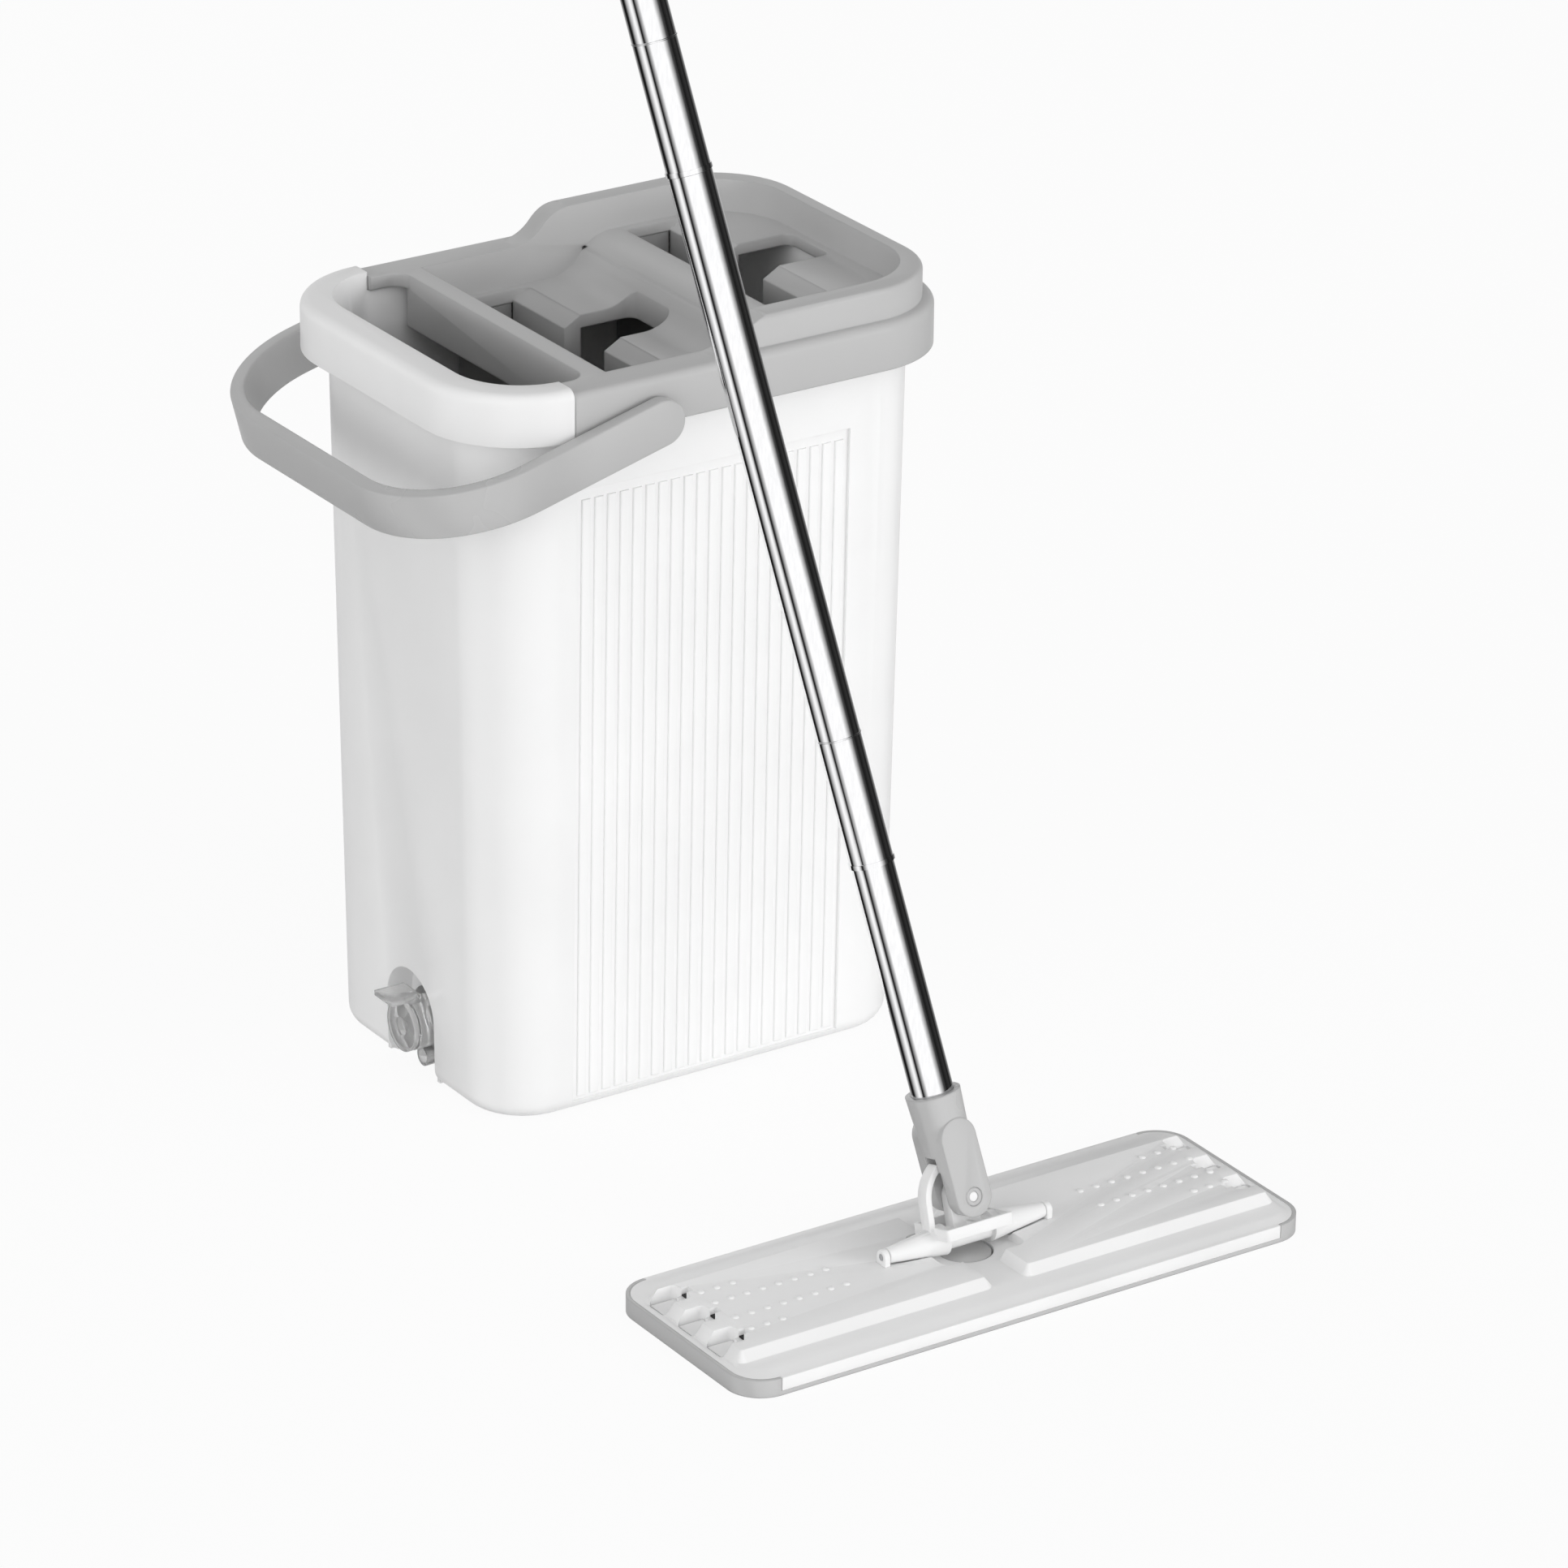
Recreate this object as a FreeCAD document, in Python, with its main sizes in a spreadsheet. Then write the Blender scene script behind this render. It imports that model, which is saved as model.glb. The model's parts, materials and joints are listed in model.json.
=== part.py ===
import FreeCAD, Part
import math
import os

import Sketcher
from FreeCAD import Placement, Rotation, Vector

# Flat mop with a two-slot wringing bucket.  Millimetres, +Z up, the bucket stands on Z = 0 and the
# origin is the middle of its foot.  The long side runs along X, the drain end is at -X, and the mop
# plate lies on the floor in front of the bucket, on the -Y side.

doc = FreeCAD.newDocument("mop_bucket")

# ------------------------------------------------------------------------------ driving dimensions
DIMENSIONS = {
    # bucket
    "base_length": 227.7, "base_width": 160.0, "base_corner": 31.0, "base_round": 9.0,
    "side_draft": 0.9, "wall": 2.6, "floor_thick": 4.0, "wall_top": 357.0,
    "foot_recess": 1.5, "foot_band": 12.0,
    "flange_out": 8.0, "flange_thick": 3.0,
    # outer line of the rim, shared by the bucket's front end and the wringer cover
    "rim_length": 265.0, "rim_width": 193.4, "rim_corner": 48.6, "skirt_bottom": 341.5,
    "skirt_wall": 3.2, "rim_top": 364.0, "gap_side": 16.0, "front_top": 366.0,
    "front_hollow_top": 360.0, "body_gap": 10.6,
    # ribbed side panels
    "panel_left": -75.0, "panel_right": 72.0, "panel_bottom": 6.0, "panel_top": 312.0,
    "panel_depth": 1.5,
    # drain niche and drain
    "niche_half": 21.0, "niche_straight": 31.0, "niche_deep": 13.0, "niche_wall": 2.4,
    "drain_height": 24.0, "drain_bore": 8.2, "seat_radius": 8.0, "seat_bore": 5.6,
    "seat_flange": 16.0, "seat_flange_thick": 3.0, "plug_radius": 5.54,
    "cap_radius": 12.5, "cap_length": 15.5, "gasket_radius": 15.0, "gasket_thick": 1.6,
    "nut_radius": 14.0, "nut_thick": 4.5, "tab_side": 16.0, "tab_thick": 2.6, "tab_out": 22.5,
    "tab_aside": 4.0,
    # wringer cover
    "cover_front": -83.4, "cover_clear": 0.4, "high_inset": 5.5, "high_top": 379.0,
    "step_start": -7.0, "step_run": 32.0, "tray_left": -57.0, "tray_right": 119.0,
    "tray_half": 79.5, "tray_corner": 36.0, "floor_low": 345.0, "floor_high": 363.0,
    "ramp_start": 12.0, "ramp_run": 35.0, "apron_front": -67.0, "apron_bottom": 338.5,
    "block_half": 82.0, "block_right": 34.0, "cover_seat": 357.4,
    "slot_wide": 34.0, "wash_left": -35.0, "dry_left": 52.0, "slot_front": -66.0,
    "slot_back": 76.0, "gate_front": -3.5, "gate_back": 31.0, "gate_wide": 29.0,
    "guide_wide": 8.5, "guide_drop": 5.0, "guide_deep": 22.0,
    # chutes below the slots
    "chute_wall": 2.2, "drain_slot": 4.0, "wash_chute_bottom": 215.0, "dry_chute_bottom": 235.0,
    # rollers, comb, blade and flap inside the chutes
    "roller_radius": 4.5, "roller_pin": 2.0, "wash_roller_x": -30.0, "roller_high": 312.0,
    "roller_low": 286.0, "flap_pin": 2.0, "flap_height": 318.0, "flap_x": 81.0,
    "blade_reach": 6.0,
    # bail handle
    "pivot_x": -42.0, "pivot_z": 344.5, "bail_reach": 128.0, "bail_inner": 98.4,
    "bail_thick": 7.2, "bail_band": 22.0, "bail_corner": 58.0, "bail_drop": 14.5,
    "stud_radius": 5.0, "stud_depth": 4.4,
    # mop plate
    "plate_x": -10.5, "plate_y": -305.5, "plate_length": 303.0, "plate_width": 111.0,
    "plate_corner": 17.0, "base_thick": 2.2, "strip_thick": 1.1, "edge_top": 8.4, "web_top": 9.6,
    "wing_top": 14.4, "band_thick": 2.0, "band_gap": 0.3,
    "wing_half": 34.0, "wing_bevel": 4.0, "wing_gap_left": 9.0, "wing_gap_right": 6.5,
    "wing_corner": 5.0, "clip_step": 23.0, "clip_shift": 3.5, "clip_half": 7.0, "pit_outer": 5.0,
    "pit_inner": 19.5, "notch_deep": 3.5, "notch_half": 2.2, "pit_floor": 6.2,
    "room_length": 44.0, "room_width": 34.0, "well_radius": 13.0, "strip_long": 60.0,
    "strip_wide": 88.0, "strip_in": 40.0, "strip_play": 0.3,
    # universal joint
    "axle_z": 18.0, "axle_radius": 1.5, "arm_reach": 42.0, "pin_rise": 18.0, "pin_radius": 2.3,
    "arm_start": 12.0, "arm_root": 7.2, "arm_tip": 3.4, "ring_radius": 4.2,
    "ear_thick": 3.0, "ear_radius": 3.5, "ear_seat": 9.0, "frame_x": 18.0, "frame_y": 14.0,
    "frame_wall": 1.8, "frame_low": 1.5, "frame_top": 7.0, "arc_out": 20.0, "arc_thick": 3.0,
    "tongue_half": 3.4,
    "clevis_wide": 18.4, "clevis_deep": 24.0, "clevis_top": 49.0, "socket_wide": 20.0,
    "socket_deep": 20.8, "socket_corner": 8.5, "socket_draft": 3.0, "socket_low": 14.0,
    "cheek_top": 28.0, "core_radius": 5.2, "tongue_round": 7.4, "tongue_foot": 2.0,
    "frame_rib": 1.8, "arc_end": 125.0, "slot_play": 0.5, "arc_play": 0.8, "ring_thick": 1.2,
    "ring_sink": 1.6,
    "lean_back": 16.0, "lean_side": 7.45,
    # pole
    "tube_radius": 10.0, "stub_radius": 9.7, "tube_wall": 0.9, "stub_start": 24.0,
    "joint_height": 157.5, "section_length": 318.0, "plug_long": 44.0, "grip_long": 128.0,
    "grip_radius": 12.2, "cap_long": 34.0,
}

sheet = doc.addObject("Spreadsheet::Sheet", "dims")
for row, (word, number) in enumerate(DIMENSIONS.items(), start=1):
    sheet.set("A%d" % row, word)
    sheet.set("B%d" % row, str(number))
    sheet.setAlias("B%d" % row, word)
doc.recompute()


def size(expression):
    """Number that an expression over the sheet's words gives."""
    result = sheet.evalExpression(expression)
    return float(result)


def bind(item, prop, expression):
    item.setExpression(prop, str(expression))


# ------------------------------------------------------------------------------------ small helpers
nodes = []


def keep(item, label):
    """Marks an object as a finished sub-part under its own label."""
    item.Label = label
    nodes.append(item)
    return item


def newBody(name):
    return doc.addObject("PartDesign::Body", name)


def originPlane(body, role):
    for feature in body.Origin.OriginFeatures:
        if feature.Role == role:
            return feature
    raise RuntimeError("no plane " + role)


def newSketch(body, name, role="XY_Plane", lift="0"):
    sketch = body.newObject("Sketcher::SketchObject", name)
    sketch.AttachmentSupport = [(originPlane(body, role), "")]
    sketch.MapMode = "FlatFace"
    bind(sketch, ".AttachmentOffset.Base.z", lift)
    return sketch


def pinPoint(sketch, shape, end, across, along):
    """Holds one end of a curve at a place given by two expressions."""
    for kind, expression in (("DistanceX", across), ("DistanceY", along)):
        number = size(expression)
        index = sketch.addConstraint(Sketcher.Constraint(kind, -1, 1, shape, end, number))
        sketch.renameConstraint(index, "%s_%d_%d" % (kind, shape, end))
        bind(sketch, "Constraints.%s_%d_%d" % (kind, shape, end), expression)


def bindRadius(sketch, shape, expression):
    index = sketch.addConstraint(Sketcher.Constraint("Radius", shape, size(expression)))
    sketch.renameConstraint(index, "radius_%d" % shape)
    bind(sketch, "Constraints.radius_%d" % shape, expression)


def arcBetween(start, end, radius, side):
    """Arc from start to end that bulges to the right (side 1) or to the left (side -1).  A sketch
    keeps arcs turning to the left, so an arc of side -1 is stored from its end to its start."""
    chord = end - start
    half = chord.Length / 2
    inward = Vector(-chord.y, chord.x, 0).normalize() * side
    centre = (start + end) * 0.5 + inward * math.sqrt(max(radius * radius - half * half, 0.0))
    first, last = (start, end) if side > 0 else (end, start)
    startAngle = math.atan2(first.y - centre.y, first.x - centre.x)
    endAngle = math.atan2(last.y - centre.y, last.x - centre.x)
    if endAngle < startAngle:
        endAngle += 2 * math.pi
    return Part.ArcOfCircle(Part.Circle(centre, Vector(0, 0, 1), radius), startAngle, endAngle)


def outline(sketch, points):
    """Closed outline.  A point is (across, along) or (across, along, radius, side): the latter is
    reached by an arc.  All are expressions, apart from side, which is 1 or -1."""
    places = [Vector(size(point[0]), size(point[1]), 0) for point in points]
    first = sketch.GeometryCount
    for number, point in enumerate(points):
        start, end = places[number - 1], places[number]
        if len(point) == 2:
            sketch.addGeometry(Part.LineSegment(start, end))
        else:
            sketch.addGeometry(arcBetween(start, end, size(point[2]), point[3]))
    count = len(points)
    for number, point in enumerate(points):
        following = (number + 1) % count
        ownEnd = 1 if len(point) == 4 and point[3] < 0 else 2
        nextStart = 2 if len(points[following]) == 4 and points[following][3] < 0 else 1
        sketch.addConstraint(Sketcher.Constraint("Coincident", first + number, ownEnd,
                                                 first + following, nextStart))
        pinPoint(sketch, first + number, ownEnd, point[0], point[1])
        if len(point) == 4:
            bindRadius(sketch, first + number, point[2])
    return sketch


def roundedRect(sketch, left, right, front, back, corner):
    """Rectangle with four equal rounded corners, given by the places of its sides."""
    outline(sketch, [
        ("%s - (%s)" % (right, corner), front),
        (right, "%s + %s" % (front, corner), corner, 1),
        (right, "%s - (%s)" % (back, corner)),
        ("%s - (%s)" % (right, corner), back, corner, 1),
        ("%s + %s" % (left, corner), back),
        (left, "%s - (%s)" % (back, corner), corner, 1),
        (left, "%s + %s" % (front, corner)),
        ("%s + %s" % (left, corner), front, corner, 1),
    ])
    return sketch


def centredRect(sketch, length, width, corner):
    return roundedRect(sketch, "-(%s)/2" % length, "(%s)/2" % length, "-(%s)/2" % width,
                       "(%s)/2" % width, corner)


def circle(sketch, across, along, radius):
    shape = sketch.addGeometry(Part.Circle(Vector(size(across), size(along), 0), Vector(0, 0, 1),
                                           size(radius)))
    pinPoint(sketch, shape, 3, across, along)
    bindRadius(sketch, shape, radius)
    return sketch


def pad(body, sketch, length, draft=None, backwards=False):
    feature = body.newObject("PartDesign::Pad", sketch.Name + "_pad")
    feature.Profile = sketch
    bind(feature, "Length", length)
    feature.Reversed = backwards
    if draft:
        bind(feature, "TaperAngle", draft)
    doc.recompute()
    return feature


def pocket(body, sketch, length, draft=None, backwards=False):
    """Cuts, and makes sure that something was cut."""
    before = body.Shape.Volume
    feature = body.newObject("PartDesign::Pocket", sketch.Name + "_pocket")
    feature.Profile = sketch
    bind(feature, "Length", length)
    feature.Reversed = backwards
    if draft:
        bind(feature, "TaperAngle", draft)
    doc.recompute()
    if body.Shape.Volume > before - 1e-3:
        raise RuntimeError("nothing cut by " + feature.Name)
    return feature


def edgeNames(shape, test):
    return ["Edge%d" % (i + 1) for i, edge in enumerate(shape.Edges) if test(edge)]


def fillet(body, test, radius):
    base = body.Tip
    names = edgeNames(base.Shape, test)
    if not names:
        raise RuntimeError("no edge to round after " + base.Name)
    feature = body.newObject("PartDesign::Fillet", body.Name + "_round")
    feature.Base = (base, names)
    bind(feature, "Radius", radius)
    doc.recompute()
    return feature


def atHeight(height, tolerance=0.01):
    def test(edge):
        box = edge.BoundBox
        return abs(box.ZMin - height) < tolerance and abs(box.ZMax - height) < tolerance
    return test


def place(item, x="0", y="0", z="0", axis=None, angle=0):
    if axis is not None:
        item.Placement = Placement(Vector(0, 0, 0), Rotation(axis, angle))
    bind(item, ".Placement.Base.x", x)
    bind(item, ".Placement.Base.y", y)
    bind(item, ".Placement.Base.z", z)
    return item


def box(name, length, width, height, x="0", y="0", z="0", axis=None, angle=0):
    item = doc.addObject("Part::Box", name)
    bind(item, "Length", length)
    bind(item, "Width", width)
    bind(item, "Height", height)
    return place(item, x, y, z, axis, angle)


ALONG = {"X": (Vector(0, 1, 0), 90), "-X": (Vector(0, 1, 0), -90), "Y": (Vector(1, 0, 0), -90),
         "-Y": (Vector(1, 0, 0), 90), "Z": (None, 0)}


def cylinder(name, radius, height, x="0", y="0", z="0", along="Z"):
    item = doc.addObject("Part::Cylinder", name)
    bind(item, "Radius", radius)
    bind(item, "Height", height)
    axis, angle = ALONG[along]
    return place(item, x, y, z, axis, angle)


def fuse(name, items):
    item = doc.addObject("Part::MultiFuse", name)
    item.Shapes = items
    item.Refine = True
    return item


def cut(name, base, tools):
    tool = tools[0] if len(tools) == 1 else fuse(name + "_tools", tools)
    item = doc.addObject("Part::Cut", name)
    item.Base = base
    item.Tool = tool
    item.Refine = True
    return item


def ring(name, outer, inner, height, x="0", y="0", z="0", along="Z", extra="1"):
    """Tube or washer."""
    shift = {"X": (extra, "0", "0"), "-X": (extra, "0", "0"), "Y": ("0", extra, "0"),
             "-Y": ("0", extra, "0"), "Z": ("0", "0", extra)}[along]
    sign = "+" if along.startswith("-") else "-"
    body = cylinder(name + "_outer", outer, height, x, y, z, along)
    hole = cylinder(name + "_bore", inner, "%s + 2*%s" % (height, extra), "%s %s %s" % (x, sign, shift[0]),
                    "%s %s %s" % (y, sign, shift[1]), "%s %s %s" % (z, sign, shift[2]), along)
    return cut(name, body, [hole])


# ------------------------------------------------------------------------------------------ bucket
def makeBucket():
    body = newBody("bucket_shell")
    base = centredRect(newSketch(body, "base"), "dims.base_length", "dims.base_width",
                       "dims.base_corner")
    pad(body, base, "dims.wall_top", draft="dims.side_draft")
    fillet(body, atHeight(0.0), "dims.base_round")

    # the lip that carries the cover, and the thick white band round the drain end
    lip = newSketch(body, "lip", lift="dims.wall_top - dims.flange_thick")
    centredRect(lip, "dims.rim_length - 2*dims.flange_out", "dims.rim_width - 2*dims.flange_out",
                "dims.rim_corner - dims.flange_out")
    pad(body, lip, "dims.flange_thick")
    band = newSketch(body, "front_band", lift="dims.skirt_bottom")
    bandEnd = "dims.cover_front - dims.cover_clear"
    half = "dims.rim_width/2"
    outline(band, [
        (bandEnd, half),
        ("-dims.rim_length/2 + dims.rim_corner", half),
        ("-dims.rim_length/2", "dims.rim_width/2 - dims.rim_corner", "dims.rim_corner", 1),
        ("-dims.rim_length/2", "-dims.rim_width/2 + dims.rim_corner"),
        ("-dims.rim_length/2 + dims.rim_corner", "-dims.rim_width/2", "dims.rim_corner", 1),
        (bandEnd, "-dims.rim_width/2"),
    ])
    pad(body, band, "dims.front_top - dims.skirt_bottom")
    hollow = newSketch(body, "front_band_hollow", lift="dims.front_hollow_top")
    outline(hollow, [
        ("dims.cover_front", "dims.rim_width/2 - dims.skirt_wall"),
        ("-dims.rim_length/2 + dims.rim_corner", "dims.rim_width/2 - dims.skirt_wall"),
        ("-dims.rim_length/2 + dims.skirt_wall", "dims.rim_width/2 - dims.rim_corner",
         "dims.rim_corner - dims.skirt_wall", 1),
        ("-dims.rim_length/2 + dims.skirt_wall", "-dims.rim_width/2 + dims.rim_corner"),
        ("-dims.rim_length/2 + dims.rim_corner", "-dims.rim_width/2 + dims.skirt_wall",
         "dims.rim_corner - dims.skirt_wall", 1),
        ("dims.cover_front", "-dims.rim_width/2 + dims.skirt_wall"),
        ("dims.cover_front", "-dims.rim_width/2 + dims.body_gap"),
        ("-dims.rim_length/2 + dims.rim_corner", "-dims.rim_width/2 + dims.body_gap"),
        ("-dims.rim_length/2 + dims.body_gap", "-dims.rim_width/2 + dims.rim_corner",
         "dims.rim_corner - dims.body_gap", -1),
        ("-dims.rim_length/2 + dims.body_gap", "dims.rim_width/2 - dims.rim_corner"),
        ("-dims.rim_length/2 + dims.rim_corner", "dims.rim_width/2 - dims.body_gap",
         "dims.rim_corner - dims.body_gap", -1),
        ("dims.cover_front", "dims.rim_width/2 - dims.body_gap"),
    ])
    pocket(body, hollow, "dims.front_hollow_top - dims.skirt_bottom + 0.5")

    # inside
    inside = newSketch(body, "inside", lift="dims.floor_thick")
    centredRect(inside, "dims.base_length - 2*dims.wall", "dims.base_width - 2*dims.wall",
                "dims.base_corner - dims.wall")
    pocket(body, inside, "dims.front_top - dims.floor_thick + 1", draft="dims.side_draft",
           backwards=True)

    # the band's outer top edge is well rounded, its inner one less so
    def bandOuter(edge):
        corner = edge.BoundBox
        high = atHeight(size("dims.front_top"))(edge)
        outside = max(abs(corner.YMin), abs(corner.YMax), -corner.XMin - 35.0) > 96.0
        return high and outside and edge.Length > 20.0
    fillet(body, bandOuter, "5")

    # drain niche: a block inside the front wall, then the arched recess
    for name, side, depth in (("niche_block", "dims.niche_half + dims.niche_wall",
                               "dims.niche_deep + dims.niche_wall"),
                              ("niche", "dims.niche_half", "dims.niche_deep")):
        arch = newSketch(body, name, role="YZ_Plane", lift="-dims.base_length/2 - 4")
        low = "dims.floor_thick/2" if name == "niche_block" else "-1"
        outline(arch, [
            ("-(%s)" % side, low),
            (side, low),
            (side, "dims.niche_straight"),
            ("0", "dims.niche_straight + %s" % side, side, 1),
            ("-(%s)" % side, "dims.niche_straight", side, 1),
        ])
        if name == "niche_block":
            arch.setExpression(".AttachmentOffset.Base.z", "-dims.base_length/2 + dims.wall/2")
            pad(body, arch, "%s - dims.wall/2" % depth)
        else:
            pocket(body, arch, "%s + 4" % depth, backwards=True)
    bore = newSketch(body, "drain_bore", role="YZ_Plane", lift="-dims.base_length/2")
    circle(bore, "0", "dims.drain_height", "dims.drain_bore")
    pocket(body, bore, "dims.niche_deep + 2*dims.niche_wall", backwards=True)

    # ribbed panels are sunk into both long sides, and follow their slope
    for side in (-1, 1):
        sunk = body.newObject("PartDesign::SubtractiveBox", "panel_%s" % ("front" if side < 0 else "back"))
        sunk.AttachmentSupport = [(originPlane(body, "XY_Plane"), "")]
        sunk.MapMode = "FlatFace"
        bind(sunk, "Length", "dims.panel_right - dims.panel_left")
        bind(sunk, "Width", "20")
        bind(sunk, "Height", "dims.panel_top - dims.panel_bottom")
        slope = size("dims.side_draft")
        face = size("dims.base_width/2 + dims.panel_bottom*tan(dims.side_draft) - dims.panel_depth")
        across = face if side > 0 else -face - 20.0
        turn = Rotation(Vector(1, 0, 0), -side * slope)
        start = Vector(size("dims.panel_left"), across, size("dims.panel_bottom"))
        pivot = Vector(start.x, side * face, start.z)
        sunk.AttachmentOffset = Placement(start, turn, pivot - start)
        doc.recompute()

    foot = newSketch(body, "foot_recess", lift="dims.foot_recess")
    centredRect(foot, "dims.base_length - 2*dims.foot_band - 2*dims.niche_deep",
                "dims.base_width - 2*dims.foot_band", "dims.base_corner - dims.foot_band")
    pocket(body, foot, "dims.foot_recess + 1")
    return keep(body, "bucket_body")


makeBucket()


# ------------------------------------------------------------------------------------------- drain
def makeDrain():
    wallOut = "(-dims.base_length/2 + dims.niche_deep)"
    wallIn = "(%s + dims.niche_wall)" % wallOut
    flange = cylinder("seat_flange", "dims.seat_flange", "dims.seat_flange_thick",
                      "%s - dims.seat_flange_thick" % wallOut, "0", "dims.drain_height", "X")
    barrel = cylinder("seat_barrel", "dims.seat_radius", "dims.niche_wall + dims.gasket_thick + 6",
                      wallOut, "0", "dims.drain_height", "X")
    spout = cylinder("seat_spout", "5", "6", "%s - 7" % wallOut, "0", "5.6", "X")
    web = box("seat_web", "2.4", "9", "12", "%s - 2.7" % wallOut, "-4.5", "4")
    solid = fuse("seat_solid", [flange, barrel, spout, web])
    bore = cylinder("seat_bore", "dims.seat_bore", "30", "%s - 10" % wallOut, "0",
                    "dims.drain_height", "X")
    mouth = cylinder("seat_mouth", "3.6", "6", "%s - 7.5" % wallOut, "0", "5.6", "X")
    keep(cut("seat", solid, [bore, mouth]), "drain_seat")
    keep(ring("gasket", "dims.gasket_radius", "dims.seat_radius + 0.05", "dims.gasket_thick", wallIn,
              "0", "dims.drain_height", "X"), "drain_gasket")

    nut = doc.addObject("Part::Prism", "nut_prism")
    nut.Polygon = 6
    bind(nut, "Circumradius", "dims.nut_radius")
    bind(nut, "Height", "dims.nut_thick")
    place(nut, "%s + dims.gasket_thick" % wallIn, "0", "dims.drain_height", *ALONG["X"])
    hole = cylinder("nut_hole", "dims.seat_radius + 0.05", "12", "%s - 2" % wallIn, "0",
                    "dims.drain_height", "X")
    keep(cut("nut", nut, [hole]), "drain_nut")

    # the stopper: a plug in the bore, a ringed cap, and a square tab to pull it by
    capFace = "(%s - dims.seat_flange_thick - 0.3)" % wallOut
    plug = cylinder("plug_stem", "dims.plug_radius", "12", "%s - 1" % capFace, "0",
                    "dims.drain_height", "X")
    cap = cylinder("plug_cap", "dims.cap_radius", "dims.cap_length",
                   "%s - dims.cap_length" % capFace, "0", "dims.drain_height", "X")
    groove = ring("plug_groove", "dims.cap_radius + 1", "dims.cap_radius - 1.6", "1.4",
                  "%s - dims.cap_length + 2.4" % capFace, "0", "dims.drain_height", "X", "0.5")
    dish = cylinder("plug_dish", "4.6", "4", "%s - dims.cap_length - 0.5" % capFace, "0",
                    "dims.drain_height", "X")
    keep(cut("plug", fuse("plug_solid", [plug, cap]), [groove, dish]), "drain_plug")
    tab = box("tab_plate", "dims.tab_side", "dims.tab_side", "dims.tab_thick",
              "%s - dims.tab_out" % capFace, "dims.tab_aside - dims.tab_side/2",
              "dims.drain_height + dims.cap_radius + 0.6")
    neck = box("tab_neck", "6", "8", "1.4", "%s - 13" % capFace, "-4",
               "dims.drain_height + dims.cap_radius - 0.6")
    seat = cylinder("tab_seat", "dims.cap_radius + 0.05", "30", "%s - 20" % capFace, "0",
                    "dims.drain_height", "X")
    keep(cut("tab", fuse("tab_solid", [tab, neck]), [seat]), "drain_pull_tab")


makeDrain()


# ----------------------------------------------------------------------------------- wringer cover
def rimOutline(sketch, inset, left):
    """The rim's outline less an inset, cut straight at its left end."""
    reach = "dims.rim_length/2 - (%s)" % inset
    half = "dims.rim_width/2 - (%s)" % inset
    corner = "dims.rim_corner - (%s)" % inset
    centreX = "dims.rim_length/2 - dims.rim_corner"
    centreY = "dims.rim_width/2 - dims.rim_corner"
    outline(sketch, [
        (left, "-(%s)" % half),
        (centreX, "-(%s)" % half),
        (reach, "-(%s)" % centreY, corner, 1),
        (reach, centreY),
        (centreX, half, corner, 1),
        (left, half),
    ])
    return sketch


def sCurve(start, run, low, rise):
    """Two arcs that climb smoothly from (start, low): the points and their radius."""
    radius = "((%s)^2 + (%s)^2)/(4*(%s))" % (run, rise, rise)
    middle = ("%s + (%s)/2" % (start, run), "%s + (%s)/2" % (low, rise), radius, 1)
    top = ("%s + %s" % (start, run), "%s + %s" % (low, rise), radius, -1)
    return middle, top


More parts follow.
